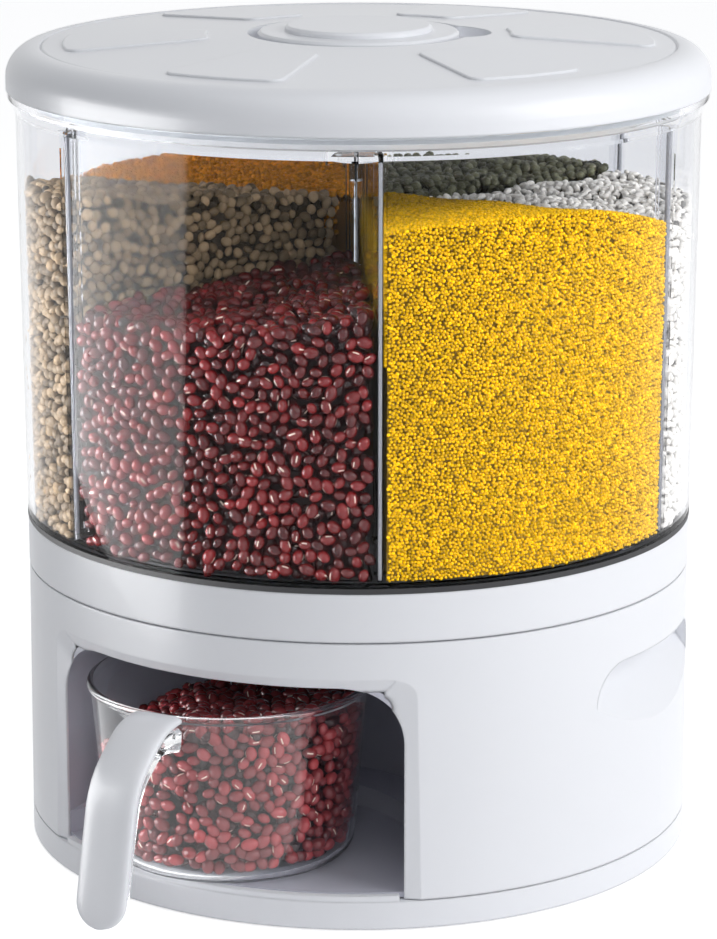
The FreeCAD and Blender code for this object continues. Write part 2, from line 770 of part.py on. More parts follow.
def make_hub_cap():
    """Round cap on the hub tube, with a plug inside the tube."""
    z = hub_tube_top_z
    plug_r = hub_tube_r - 1.85
    profile = [(0, z - 8), (plug_r, z - 8), (plug_r, z), (hub_cap_r, z)]
    return turned(profile + [(hub_cap_r, z + 3.4), (hub_cap_r - 1.6, z + 5), (0, z + 5)])


def make_drum_gasket():
    """Dark ring between the band and the drum's shoulder."""
    return tube(skirt_r + 0.1, drum_r_low + 0.1, band_top_z, drum_low_z)


# Lid


def field_height(r):
    """Height of the lid's gently domed field."""
    return field_z + (crown_z - field_z) * (field_r - r) / (field_r - recess_r)


def make_lid_shell():
    """Lid moulding: rounded rim, grooved border, domed field, six raised panels and the cap's recess."""
    inner_r = lid_r - lid_wall
    under_z = field_z - lid_wall
    groove_in = field_r - 0.6
    groove_out = field_r + 0.6
    hole_r = neck_r + 1.6
    recess_under_z = recess_floor_z - lid_wall
    top = [(hole_r, recess_floor_z), (recess_r, recess_floor_z), (recess_r + 0.8, field_height(recess_r))]
    top += [(groove_in, field_height(groove_in)), (field_r, field_z - 0.7), (groove_out, field_z + 0.3)]
    outside = [(lid_r, lid_straight_z + lid_round, lid_round), (lid_r, lid_low_z), (inner_r, lid_low_z)]
    under = [(inner_r, under_z - 5.5), (inner_r - 6, under_z - 0.3), (field_r - 2, under_z)]
    under += [(52.5, field_height(52.5) - lid_wall), (51.5, recess_under_z), (hole_r, recess_under_z)]
    lid = turned(top + outside + under)
    posts = [disc(4.0, 288.5, 299.5, *polar(96.0, 30 + i * pitch)[:2]) for i in range(compartments)]
    lid = fused([lid] + ring_of(lid_panel(), compartments) + posts)
    spot = polar(32.0, notch_azimuth)
    return lid.cut(disc(17.0, recess_floor_z, 310, spot.x, spot.y))


def lid_panel():
    """One raised keystone panel, parallel to the domed field, with a small chamfer round its top."""
    r_in, r_out = panel_r_in - 6, panel_r_out + 5
    blank = turned(
        [
            (r_in, field_height(r_in) - 1),
            (r_out, field_height(r_out) - 1),
            (r_out, field_height(r_out) + panel_rise),
            (r_in, field_height(r_in) + panel_rise),
        ]
    )
    panel = blank.common(keystone(panel_r_in, panel_r_out, panel_half_angle, panel_corner, 295, 310))
    return panel.makeChamfer(0.4, [e for e in panel.Edges if is_panel_rim(e)])


def is_panel_rim(edge):
    """Edges of a raised panel that lie on its top surface."""
    for vertex in edge.Vertexes:
        r = math.hypot(vertex.X, vertex.Y)
        if abs(vertex.Z - field_height(r) - panel_rise) > 0.05:
            return False
    return True


def make_lid_plate():
    """Inner plate of the lid, a ring round the desiccant basket."""
    return tube(33.0, lid_r - lid_wall - 0.3, lid_plate_z, lid_plate_z + 1.9)


def make_seal_carrier():
    """Ring under the plate that goes down into the drum's mouth and carries the seal."""
    return tube(seal_r - 1.8, seal_r, lid_plate_z - 6.8, lid_plate_z)


def make_lid_seal():
    """Silicone ring: a flange on the drum's rim and a lip down its mouth."""
    profile = [(seal_r, 280.6), (seal_r + 1.2, 280.6), (125.5, 282.4), (123.4, 283.4), (123.4, drum_top_z)]
    return turned(profile + [(127.5, drum_top_z), (127.5, lid_plate_z), (seal_r, lid_plate_z)])


def make_desiccant_cap():
    """Two-step round cap with a neck that drops through the lid."""
    under = recess_floor_z
    edge = 1.0
    neck_in = neck_r - 2.1
    inside_z = cap_top_z - 2.2
    profile = [(neck_in, 292.0), (neck_r, 292.0), (neck_r, under), (cap_r, under)]
    profile += [(cap_r, cap_step_z - edge), (cap_r - edge, cap_step_z), (cap_upper_r, cap_step_z)]
    profile.append((cap_upper_r, cap_top_z - edge))
    profile += [(cap_upper_r - edge, cap_top_z), (0, cap_top_z), (0, inside_z), (24.6, inside_z)]
    return turned(profile + [(neck_in, under + 1.8)])


def make_cap_seal():
    """Ring round the cap's neck."""
    return tube(neck_r, neck_r + 1.5, 298.0, 299.7)


def make_desiccant_basket():
    """Cup for the drying agent, with slots in its floor."""
    r_out = neck_r - 2.15
    r_in = r_out - 1.55
    foot_z = 284.4
    floor_z = foot_z + 1.4
    top_z = 298.0
    section = [(0, foot_z), (r_out, foot_z), (r_out, top_z), (r_in, top_z), (r_in, floor_z), (0, floor_z)]
    basket = turned(section)
    slot = Part.makeBox(15.0, 2.2, 4.0, Vector(8.0, -1.1, foot_z - 1.4))
    for hole in ring_of(slot, 10):
        basket = basket.cut(hole)
    return basket


# Cup


def cup_space():
    """Inside of the cup, open at the top."""
    slope = (cup_rim_r - cup_foot_r) / (cup_rim_z - cup_foot_z)
    r_low = cup_foot_r - cup_wall + slope * cup_wall
    r_high = cup_rim_r - 2.6
    chamfer = cup_corner - cup_wall
    floor_z = cup_foot_z + cup_floor
    section = [(0, floor_z), (r_low - chamfer, floor_z), (r_low, floor_z + chamfer), (r_high, cup_rim_z)]
    space = turned(section + [(r_high, 120), (0, 120)])
    space.translate(Vector(cup_x, cup_y, 0))
    return space


def make_measuring_cup():
    """Clear tapered cup with a beaded rim. The core of its handle is moulded on."""
    hollow_z = cup_foot_z + 0.8
    bead_z = cup_rim_z - 2.6
    outside = [(0, hollow_z), (36, hollow_z), (37, cup_foot_z), (cup_foot_r, cup_foot_z, cup_corner)]
    outside += [(cup_rim_r - 0.9, bead_z - 0.4), (cup_rim_r, bead_z), (cup_rim_r, cup_rim_z), (0, cup_rim_z)]
    bowl = turned(outside)
    bowl.translate(Vector(cup_x, cup_y, 0))
    return fused([bowl, handle_core()]).cut(cup_space())


def front_shape(width, tip_z, top_z):
    """The handle as seen from the front: a band with a round lower end."""
    half = width / 2
    left = cup_x - half
    right = cup_x + half
    tip_r = half - 0.05
    outline = [(left, tip_z, tip_r), (right, tip_z, tip_r), (right, top_z, 2.5), (left, top_z, 2.5)]
    return prism(outline, on_front(-200.0), Vector(0, 70, 0))


def handle_core():
    """Clear core under the handle's cover, arching from the rim down to the tip."""
    side = [(-134.0, 77.0), (-150.0, 76.6, 18.0), (-169.2, 62.0, 24.0), (-180.1, 17.5, 1.5)]
    side += [(-175.9, 18.0, 1.5), (-166.0, 60.0, 20.0), (-152.0, 69.0, 10.0), (-143.5, 60.0, 6.0)]
    side += [(-136.5, 46.0), (-131.0, 46.0)]
    band = prism(side, on_side(cup_x - core_width / 2), Vector(core_width, 0, 0))
    return band.common(front_shape(core_width, 17.0, 90.0))


def make_handle_cover():
    """White cover clipped over the core, rounded along its edges."""
    side = [(-140.2, 80.6, 1.5), (-152.0, 80.8, 24.0), (-173.6, 64.5, 26.0), (-185.2, 14.5, 2.2)]
    side += [(-180.4, 14.5, 1.0), (-168.9, 61.8, 23.7), (-149.8, 76.3, 18.3), (-139.4, 77.4, 0.6)]
    band = prism(side, on_side(cup_x - handle_width / 2), Vector(handle_width, 0, 0))
    return band.common(front_shape(handle_width, 14.5, 92.0)).cut(handle_core())


def build():
    """Every node by name."""
    return {
        "base_shell": make_base_shell,
        "bay_liner": make_bay_liner,
        "bottom_tray": make_bottom_tray,
        "foot_ring": make_foot_ring,
        "base_screws": make_base_screws,
        "turntable_deck": make_turntable_deck,
        "deck_screws": make_deck_screws,
        "retaining_washer": make_retaining_washer,
        "pivot_screw": make_pivot_screw,
        "gate_guide": make_gate_guide,
        "outlet_chute": make_outlet_chute,
        "ball_cage": make_ball_cage,
        "bearing_balls": make_bearing_balls,
        "turntable": make_turntable,
        "pivot_bush": make_pivot_bush,
        "gate_plate": make_gate_plate,
        "push_paddle": make_push_paddle,
        "gate_springs": make_gate_springs,
        "clear_drum": make_clear_drum,
        "hopper_floor": make_hopper_floor,
        "outlet_wipers": make_outlet_wipers,
        "divider_insert": make_divider_insert,
        "hub_cap": make_hub_cap,
        "drum_gasket": make_drum_gasket,
        "lid_shell": make_lid_shell,
        "lid_plate": make_lid_plate,
        "seal_carrier": make_seal_carrier,
        "lid_seal": make_lid_seal,
        "desiccant_cap": make_desiccant_cap,
        "cap_seal": make_cap_seal,
        "desiccant_basket": make_desiccant_basket,
        "measuring_cup": make_measuring_cup,
        "handle_cover": make_handle_cover,
    }


def main():
    os.makedirs("parts", exist_ok=True)
    for name, make in build().items():
        shape = make()
        print(name, "valid", shape.isValid(), "solids", len(shape.Solids), "volume", round(shape.Volume))
        shape.exportStep("parts/" + name + ".step")


main()
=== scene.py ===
import copy
import math
from contextlib import contextmanager

import bpy
import numpy as np
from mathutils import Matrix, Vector


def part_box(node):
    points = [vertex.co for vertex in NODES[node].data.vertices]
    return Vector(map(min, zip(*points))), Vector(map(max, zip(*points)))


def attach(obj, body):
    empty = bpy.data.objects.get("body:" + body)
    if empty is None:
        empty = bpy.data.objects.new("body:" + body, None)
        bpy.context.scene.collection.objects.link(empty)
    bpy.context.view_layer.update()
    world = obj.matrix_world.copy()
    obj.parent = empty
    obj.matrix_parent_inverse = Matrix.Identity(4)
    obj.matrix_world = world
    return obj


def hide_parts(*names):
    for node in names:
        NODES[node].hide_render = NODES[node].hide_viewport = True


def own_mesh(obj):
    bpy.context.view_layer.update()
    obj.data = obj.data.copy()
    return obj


bl_info = {
    "name": "Rotating grain dispenser",
    "version": (1, 0, 0),
    "blender": (4, 5, 0),
    "location": "View3D > Sidebar > Dispenser",
    "description": "Models and finishes a rotating six-compartment grain dispenser round its frame",
    "category": "Add Mesh",
}

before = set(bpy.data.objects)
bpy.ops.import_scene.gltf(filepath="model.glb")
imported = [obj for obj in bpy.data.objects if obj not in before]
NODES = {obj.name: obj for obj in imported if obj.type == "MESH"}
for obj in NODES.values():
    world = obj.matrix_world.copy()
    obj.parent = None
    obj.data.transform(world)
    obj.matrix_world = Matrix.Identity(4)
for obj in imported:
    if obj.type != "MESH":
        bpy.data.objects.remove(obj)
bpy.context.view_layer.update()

MM = 0.001
TURN = 2 * math.pi
COMPARTMENTS = 6
PITCH = TURN / COMPARTMENTS
HALF_PITCH = PITCH / 2


# Places worked out from the frame

fins_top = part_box("divider_insert")[1].z
handle_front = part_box("handle_cover")[0].y


# Sizes, colours and studio settings


def length(name, description, millimetres):
    """A length that the user can change."""
    return bpy.props.FloatProperty(
        name=name, description=description, default=millimetres * MM, unit="LENGTH"
    )


def angle(name, description, degrees):
    """An angle that the user can change."""
    return bpy.props.FloatProperty(
        name=name, description=description, default=math.radians(degrees), subtype="ANGLE"
    )


def colour(name, description, *parts):
    """A colour that the user can change."""
    return bpy.props.FloatVectorProperty(name=name, description=description, default=parts, subtype="COLOR")


class DispenserSizes(bpy.types.PropertyGroup):
    """Sizes of the pieces that aren't read from the frame."""

    drum_wall: length("Drum wall", "Thickness of the clear drum", 2.4)
    drum_foot_radius: length("Drum foot radius", "Outside of the drum at its foot", 125.2)
    drum_mouth_radius: length("Drum mouth radius", "Outside of the drum under its flare", 126.6)
    wall_foot: length("Wall foot", "Height at which the drum's wall starts", 126.8)
    fill_foot: length("Fill foot", "Height at which the grain meets the wall's foot", 128.6)
    fin_thickness: length("Fin thickness", "Thickness of a divider fin", 1.7)
    rib_edge: length("Rib edge", "From a fin's middle to the outside of its guide ribs", 2.2)
    cup_foot_radius: length("Cup foot radius", "Outside of the cup at its foot", 45.7)
    cup_rim_radius: length("Cup rim radius", "Outside of the cup under its bead", 50.9)
    cup_floor: length("Cup floor", "Height of the cup's floor inside", 16.5)
    cup_rim: length("Cup rim", "Height of the cup's rim", 79.7)
    cup_wall: length("Cup wall", "Thickness of the cup", 2.0)
    cup_middle_x: length("Cup place", "How far the cup stands to the right of the middle", -9.0)
    cup_middle_y: length("Cup depth", "Where the cup's middle stands from front to back", -87.5)


class DispenserColours(bpy.types.PropertyGroup):
    """Colours of the finishes."""

    white: colour("White", "Glossy white plastic", 0.80, 0.812, 0.85)
    bay: colour("Bay", "Satin blue-grey plastic of the bay", 0.50, 0.505, 0.58)
    frost: colour("Fin edges", "Frosted edges of the clear fins", 0.30, 0.30, 0.32)
    # Painted shade: the lid's inside is white plastic, painted grey for the shadow under the lid
    lid_inside_painted_shade: colour("Lid inside", "Grey plastic inside the lid", 0.33, 0.325, 0.325)
    rubber: colour("Rubber", "Dark rubber", 0.022, 0.022, 0.025)
    silicone: colour("Silicone", "Pale silicone", 0.62, 0.64, 0.66)
    drum_tint: colour("Drum tint", "Tint of the clear drum", 0.91, 0.915, 0.93)
    fin_tint: colour("Fin tint", "Tint of the clear fins", 0.92, 0.925, 0.935)
    cup_tint: colour("Cup tint", "Tint of the clear cup", 0.965, 0.975, 0.985)
    steel: colour("Steel", "Plain steel", 0.56, 0.57, 0.58)
    adzuki: colour("Red beans", "Skin of the red beans", 0.125, 0.005, 0.006)
    # Painted light: the same red beans as adzuki, painted about twice as light where they lie in the cup
    cup_bean: colour("Beans in the cup", "Skin of the red beans in the cup", 0.27, 0.032, 0.036)
    millet: colour("Millet", "Hulled yellow millet", 0.89, 0.52, 0.004)
    rice: colour("Rice", "Short white rice", 0.93, 0.90, 0.85)
    mung: colour("Mung beans", "Grey-green beans", 0.17, 0.17, 0.10)
    amber: colour("Amber grain", "Small amber grain", 0.95, 0.37, 0.02)
    sorghum: colour("Tan grain", "Round tan grain", 0.42, 0.295, 0.17)


class StudioSettings(bpy.types.PropertyGroup):
    """Camera's place, angle and lens."""

    azimuth: angle("Azimuth", "Camera's direction round the object", 26.5)
    dip: angle("Dip", "How far the camera looks down", 14.25)
    distance: length("Distance", "Camera's distance from the axis", 1343.0)
    height: length("Height", "Camera's height over the floor", 479.0)
    lens: bpy.props.FloatProperty(
        name="Lens", description="Focal length on a 36 mm sensor", default=139.94, unit="CAMERA"
    )


def sizes():
    """The sizes as they are set."""
    return bpy.context.scene.dispenser_sizes


# Modelling helpers


def only(obj):
    """Selects and activates one object in object mode."""
    if bpy.context.object is not None and bpy.context.object.mode != "OBJECT":
        bpy.ops.object.mode_set(mode="OBJECT")
    bpy.ops.object.select_all(action="DESELECT")
    obj.select_set(True)
    bpy.context.view_layer.objects.active = obj


def joined(pieces):
    """Joins pieces into the first of them."""
    only(pieces[0])
    for piece in pieces[1:]:
        piece.select_set(True)
    bpy.ops.object.join()
    return pieces[0]


@contextmanager
def editing():
    """Edit mode with everything selected, for the length of a with block."""
    bpy.ops.object.mode_set(mode="EDIT")
    bpy.ops.mesh.select_all(action="SELECT")
    yield
    bpy.ops.object.mode_set(mode="OBJECT")


def finish_piece(obj, name, body, material, crease=35.0):
    """Names a piece, applies its place, merges doubles, turns its faces outwards and smooths it."""
    only(obj)
    obj.name = name
    obj.data.name = name
    bpy.ops.object.transform_apply(location=True, rotation=True, scale=True)
    with editing():
        bpy.ops.mesh.remove_doubles(threshold=0.01 * MM)
        bpy.ops.mesh.normals_make_consistent(inside=False)
    bpy.ops.object.shade_smooth_by_angle(angle=math.radians(crease))
    obj.data.materials.clear()
    obj.data.materials.append(material)
    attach(obj, body)
    return obj


def in_metres(points):
    """Points in millimetres turned to metres."""
    return [tuple(part * MM for part in point) for point in points]


def arc_points(middle, radius, start, end, steps):
    """Points of an arc in a section, its angles in degrees from outwards to upwards."""
    turns = [math.radians(start + (end - start) * i / steps) for i in range(steps + 1)]
    return [(middle[0] + radius * math.cos(t), middle[1] + radius * math.sin(t)) for t in turns]


def turned_piece(name, section, middle, steps=96):
    """A closed section of (r, z) points spun once round an upright axis."""
    bpy.ops.object.select_all(action="DESELECT")
    bpy.ops.mesh.primitive_circle_add(vertices=len(section), radius=10 * MM, rotation=(math.pi / 2, 0, 0))
    piece = bpy.context.object
    piece.name = name
    bpy.ops.object.transform_apply(rotation=True)
    for vertex, (r, z) in zip(piece.data.vertices, section):
        vertex.co = (r, 0, z)
    with editing():
        bpy.ops.mesh.spin(steps=steps, angle=TURN, center=(0, 0, 0), axis=(0, 0, 1))
        bpy.ops.mesh.select_all(action="SELECT")
        bpy.ops.mesh.remove_doubles(threshold=0.01 * MM)
        bpy.ops.transform.translate(value=middle)
    return piece


def soft_corners(corners, steps=8):
    """A line through corners given as (y, z, reach), each rounded from reach before it to reach after it."""
    line = [Vector(corners[0][:2])]
    for before, corner, after in zip(corners, corners[1:], corners[2:]):
        middle = Vector(corner[:2])
        start = middle + (Vector(before[:2]) - middle).normalized() * corner[2]
        end = middle + (Vector(after[:2]) - middle).normalized() * corner[2]
        for i in range(steps + 1):
            t = i / steps
            line.append(start * (1 - t) ** 2 + middle * (2 * t * (1 - t)) + end * t ** 2)
    line.append(Vector(corners[-1][:2]))
    return line


def along_line(line, share):
    """Point and direction of a line at a share of its length."""
    left = share * sum((b - a).length for a, b in zip(line, line[1:]))
    for a, b in zip(line, line[1:]):
        step = (b - a).length
        if left <= step or b is line[-1]:
            return a + (b - a) * (left / step), (b - a).normalized()
        left -= step


def strap(name, corners, half_width, half_depths, power):
    """A rounded strap in the cup's middle plane, its sizes in millimetres: a cube cut finely in edit mode and
    bent along the corners. Its section is a rounded box, squarer for a higher power, and its end is round."""
    line = soft_corners(in_metres(corners))
    total = sum((b - a).length for a, b in zip(line, line[1:]))
    half_width = half_width * MM
    half_depths = [depth * MM for depth in half_depths]
    crowding = 1.25  # brings the cuts closer together towards the round end
    end_depth = 0.55  # of the full depth, left at the very end
    bpy.ops.object.select_all(action="DESELECT")
    bpy.ops.mesh.primitive_cube_add(size=2)
    piece = bpy.context.object
    piece.name = name
    with editing():
        bpy.ops.mesh.subdivide(number_cuts=27)
    for vertex in piece.data.vertices:
        across, deep, share = vertex.co.x, vertex.co.y, 0.5 + 0.5 * vertex.co.z
        share = math.sin(share * math.pi / 2) ** crowding
        size = max(abs(across), abs(deep))
        if size > 0:
            ring = (abs(across) ** power + abs(deep) ** power) ** (1 / power)
            across, deep = across * size / ring, deep * size / ring
        point, direction = along_line(line, share)
        normal = Vector((direction.y, -direction.x))
        before_end = (1 - share) * total
        narrow = math.sqrt(max(0.0, 1 - max(0.0, 1 - before_end / half_width) ** 2))
        spot = share * (len(half_depths) - 1)
        low = min(int(spot), len(half_depths) - 2)
        half_depth = half_depths[low] + (half_depths[low + 1] - half_depths[low]) * (spot - low)
        half_depth *= end_depth + (1 - end_depth) * narrow
        place = point + normal * deep * half_depth
        vertex.co = (sizes().cup_middle_x + across * half_width * narrow, place.x, place.y)
    return piece


# Finishes


def feed(tree, node, inputs):
    """Feeds a node's inputs, each from a socket or with a plain value."""
    for key, value in dict(inputs).items():
        if isinstance(value, bpy.types.NodeSocket):
            tree.links.new(value, node.inputs[key])
        else:
            node.inputs[key].default_value = value


def add_node(tree, kind, inputs=(), **settings):
    """Adds a shader node, sets its settings and feeds its inputs."""
    node = tree.nodes.new("ShaderNode" + kind)
    for setting, value in settings.items():
        setattr(node, setting, value)
    feed(tree, node, inputs)
    return node


def calculate(tree, operation, *values):
    """Result of a Math node."""
    return add_node(tree, "Math", enumerate(values), operation=operation).outputs["Value"]


def ranged(tree, value, low, high):
    """A value from 0 to 1 drawn out to run from low to high."""
    return add_node(tree, "MapRange", {"Value": value, "To Min": low, "To Max": high}).outputs["Result"]


def scaled(tree, tint, factor):
    """A colour made lighter or darker."""
    return add_node(tree, "VectorMath", {0: tint, "Scale": factor}, operation="SCALE").outputs["Vector"]


def noise(tree, scale, detail=2.0):
    """Noise on the piece's own coordinates."""
    place = add_node(tree, "TexCoord").outputs["Object"]
    return add_node(tree, "TexNoise", {"Vector": place, "Scale": scale, "Detail": detail}).outputs["Fac"]


def mixed_shaders(tree, factor, first, second):
    """A mix of two shaders."""
    return add_node(tree, "MixShader", {"Fac": factor, 1: first, 2: second}).outputs["Shader"]


def shader_tree(name):
    """A new material, its node tree and its Principled shader, which feeds the tree's output."""
    material = bpy.data.materials.new(name)
    material.use_nodes = True
    tree = material.node_tree
    tree.nodes.clear()
    shader = add_node(tree, "BsdfPrincipled")
    add_node(tree, "OutputMaterial", {"Surface": shader.outputs["BSDF"]})
    return material, tree, shader


def new_group(name, inputs, outputs):
    """A node group with its sockets, its entry's outputs and its exit node."""
    group = bpy.data.node_groups.new(name, "ShaderNodeTree")
    for direction, sockets in (("INPUT", inputs), ("OUTPUT", outputs)):
        for socket, kind in sockets.items():
            group.interface.new_socket(socket, in_out=direction, socket_type="NodeSocket" + kind)
    entry = group.nodes.new("NodeGroupInput")
    return group, entry.outputs, group.nodes.new("NodeGroupOutput")


def moulded_group():
    """Node group of a moulded skin: a faint orange peel, and tone and gloss that drift over the piece."""
    group = bpy.data.node_groups.get("moulded_skin")
    if group is not None:
        return group
    inputs = {"Colour": "Color", "Roughness": "Float", "Peel Scale": "Float"}
    outputs = {"Colour": "Color", "Roughness": "Float", "Height": "Float"}
    group, given, leave = new_group("moulded_skin", inputs, outputs)
    drift = noise(group, 9.0)
    gloss = ranged(group, drift, 0.9, 1.1)
    results = {
        "Colour": scaled(group, given["Colour"], ranged(group, drift, 0.98, 1.0)),
        "Roughness": calculate(group, "MULTIPLY", given["Roughness"], gloss),
        "Height": noise(group, given["Peel Scale"], detail=1.0),
    }
    feed(group, leave, results)
    return group


def add_moulded_skin(tree, shader, roughness, peel_scale, strength, distance):
    """Gives a shader a moulded skin's gloss and orange peel. Returns the skin's node and the peel's."""
    inputs = {"Roughness": roughness, "Peel Scale": peel_scale}
    skin = add_node(tree, "Group", inputs, node_tree=moulded_group())
    inputs = {"Height": skin.outputs["Height"], "Strength": strength, "Distance": distance}
    peel = add_node(tree, "Bump", inputs)
    feed(tree, shader, {"Roughness": skin.outputs["Roughness"], "Normal": peel.outputs["Normal"]})
    return skin, peel


def moulded(name, tint, roughness, bump=0.02, coat=0.0, edge=0.0):
    """Opaque moulded plastic, rubber or silicone, its edges softened by the radius edge."""
    material, tree, shader = shader_tree(name)
    skin, peel = add_moulded_skin(tree, shader, roughness, peel_scale=500.0, strength=bump, distance=0.5 * MM)
    feed(tree, skin, {"Colour": (*tint, 1.0)})
    if edge > 0:
        soft = add_node(tree, "Bevel", {"Radius": edge}, samples=4)
        feed(tree, peel, {"Normal": soft.outputs["Normal"]})
    feed(tree, shader, {"Base Color": skin.outputs["Colour"], "Coat Weight": coat, "Coat Roughness": 0.06})
    return material


def clear_plastic(name, tint, index):
    """Clear plastic that lets the lamps through to what is behind it."""
    material, tree, shader = shader_tree(name)
    feed(tree, shader, {"Base Color": (*tint, 1.0), "Transmission Weight": 1.0, "IOR": index})
    add_moulded_skin(tree, shader, roughness=0.015, peel_scale=60.0, strength=0.008, distance=1.0 * MM)
    through = add_node(tree, "BsdfTransparent", {"Color": (0.95, 0.96, 0.97, 1.0)}).outputs["BSDF"]
    shadow = add_node(tree, "LightPath").outputs["Is Shadow Ray"]
    surface = mixed_shaders(tree, shadow, shader.outputs["BSDF"], through)
    feed(tree, tree.get_output_node("ALL"), {"Surface": surface})
    return material


def turned_steel(name, tint):
    """Plain turned steel."""
    material, tree, shader = shader_tree(name)
    gloss = ranged(tree, noise(tree, 900.0), 0.22, 0.38)
    feed(tree, shader, {"Base Color": (*tint, 1.0), "Metallic": 1.0, "Roughness": gloss})
    return material


def attribute(tree, name, output="Fac"):
    """A value that each grain carries."""
    return add_node(tree, "Attribute", attribute_name=name).outputs[output]


def grain_group():
    """Node group of a grain's skin: its own mottled tone, painted darker by the painted shade that each grain
    carries, and a pale seam.
    """
    group = bpy.data.node_groups.get("grain_skin")
    if group is not None:
        return group
    inputs = {"Colour": "Color", "Spread": "Float", "Seam": "Float"}
    group, given, leave = new_group("grain_skin", inputs, {"Colour": "Color"})
    tone = attribute(group, "grain_tone")
    place = attribute(group, "grain_place", "Vector")
    mottle = 0.3
    own = calculate(group, "SUBTRACT", tone, 0.5)
    own = calculate(group, "MULTIPLY_ADD", own, given["Spread"], 1.0)
    own = calculate(group, "MULTIPLY_ADD", noise(group, 260.0), mottle, own)
    own = calculate(group, "SUBTRACT", own, mottle / 2)
    # Painted shade: each grain's colour is darkened by the painted shade it carries, down to 0.14 of it
    painted_darkening = ranged(group, attribute(group, "grain_depth"), 1.0, 0.14)
    skin = scaled(group, given["Colour"], calculate(group, "MULTIPLY", own, painted_darkening))
    x, y, z = add_node(group, "SeparateXYZ", {"Vector": place}).outputs
    dented_side = calculate(group, "GREATER_THAN", y, 0.5)
    narrow_line = calculate(group, "COMPARE", z, 0.0, 0.1)
    middle_of_line = calculate(group, "COMPARE", x, 0.0, 0.38)
    some_grains = calculate(group, "GREATER_THAN", tone, 0.4)
    seam = given["Seam"]
    for limit in (dented_side, narrow_line, middle_of_line, some_grains):
        seam = calculate(group, "MULTIPLY", seam, limit)
    pale = (0.72, 0.60, 0.50, 1.0)
    blend = add_node(group, "Mix", {"Factor": seam, "A": skin, "B": pale}, data_type="RGBA")
    feed(group, leave, {"Colour": blend.outputs["Result"]})
    return group


def grain_skin(name, tint, spread, roughness, seam=0.0, coat=0.0, shine=0.25):
    """Finish of one kind of grain."""
    material, tree, shader = shader_tree(name)
    inputs = {"Colour": (*tint, 1.0), "Spread": spread, "Seam": seam}
    skin = add_node(tree, "Group", inputs, node_tree=grain_group())
    feed(tree, shader, {
        "Base Color": skin.outputs["Colour"],
        "Roughness": roughness,
        "Specular IOR Level": shine,
        "Coat Weight": coat,
        "Coat Roughness": 0.12,
    })
    return material


def painted_shade_core(name, tint, share):
    """Finish of the mass behind the grains: their colour darkened by share, as painted shade for the deep
    gaps between them.
    """
    return moulded(name, tuple(part * share for part in tint), 0.8)


# How each finish is made, the colour it takes and its other values
FINISHES = {
    "white_gloss": (moulded, "white", {"roughness": 0.36, "coat": 0.12, "edge": 1.2 * MM}),
    "white_matt": (moulded, "white", {"roughness": 0.5}),
    "bay_satin": (moulded, "bay", {"roughness": 0.42, "bump": 0.05}),
    "black_rubber": (moulded, "rubber", {"roughness": 0.55, "bump": 0.1}),
    "soft_silicone": (moulded, "silicone", {"roughness": 0.5, "bump": 0.05}),
    "turned_steel": (turned_steel, "steel", {}),
    "fin_frost": (moulded, "frost", {"roughness": 0.4}),
    # Painted shade: grey for the shadow under the lid
    "lid_grey": (moulded, "lid_inside_painted_shade", {"roughness": 0.45}),
    "drum_clear": (clear_plastic, "drum_tint", {"index": 1.14}),
    "fin_clear": (clear_plastic, "fin_tint", {"index": 1.14}),
    "cup_clear": (clear_plastic, "cup_tint", {"index": 1.45}),
    # The cores are painted shade: each grain's colour darkened for the gaps between grains
    "red_bean_core": (painted_shade_core, "adzuki", {"share": 0.03}),
    "cup_bean_core": (painted_shade_core, "adzuki", {"share": 0.03}),
    "millet_core": (painted_shade_core, "millet", {"share": 0.3}),
    "rice_core": (painted_shade_core, "rice", {"share": 0.7}),
    "mung_core": (painted_shade_core, "mung", {"share": 0.15}),
    "amber_core": (painted_shade_core, "amber", {"share": 0.25}),
    "tan_core": (painted_shade_core, "sorghum", {"share": 0.12}),
    "red_bean_skin": (grain_skin, "adzuki", {"spread": 1.2, "roughness": 0.26, "seam": 1.0, "coat": 0.5}),
    # Painted light: the cup's red beans take a lighter colour than the same beans in the drum
    "cup_bean_skin": (grain_skin, "cup_bean", {"spread": 1.0, "roughness": 0.26, "seam": 1.0, "coat": 0.4}),
    "millet_skin": (grain_skin, "millet", {"spread": 0.7, "roughness": 0.5, "shine": 0.08}),
    "rice_skin": (grain_skin, "rice", {"spread": 0.3, "roughness": 0.4}),
    "mung_skin": (grain_skin, "mung", {"spread": 0.8, "roughness": 0.4, "seam": 0.6}),
    "amber_skin": (grain_skin, "amber", {"spread": 0.7, "roughness": 0.5, "shine": 0.1}),
    "tan_skin": (grain_skin, "sorghum", {"spread": 1.0, "roughness": 0.5}),
}


def material_of(name):
    """A finish by name, made at its first use."""
    found = bpy.data.materials.get(name)
    if found is not None:
        return found
    make, tint, values = FINISHES[name]
    return make(name, getattr(bpy.context.scene.dispenser_colours, tint), **values)


NODE_FINISHES = {
    "white_gloss": ("base_shell", "bottom_tray", "turntable", "lid_shell", "desiccant_cap", "handle_cover"),
    "white_matt": ("turntable_deck", "gate_guide", "desiccant_basket"),
    # lid_plate and seal_carrier take painted shade: their white is painted grey for the shadow under the lid
    "lid_grey": ("lid_plate", "seal_carrier"),
    "bay_satin": ("bay_liner", "outlet_chute", "ball_cage", "pivot_bush", "gate_plate", "push_paddle"),
    "black_rubber": ("foot_ring", "outlet_wipers", "drum_gasket"),
    "soft_silicone": ("lid_seal", "cap_seal"),
    "turned_steel": (
        "base_screws", "deck_screws", "retaining_washer", "pivot_screw", "bearing_balls", "gate_springs",
    ),
    "drum_clear": ("clear_drum", "hopper_floor", "hub_cap"),
    "fin_clear": ("divider_insert",),
    "cup_clear": ("measuring_cup",),
}


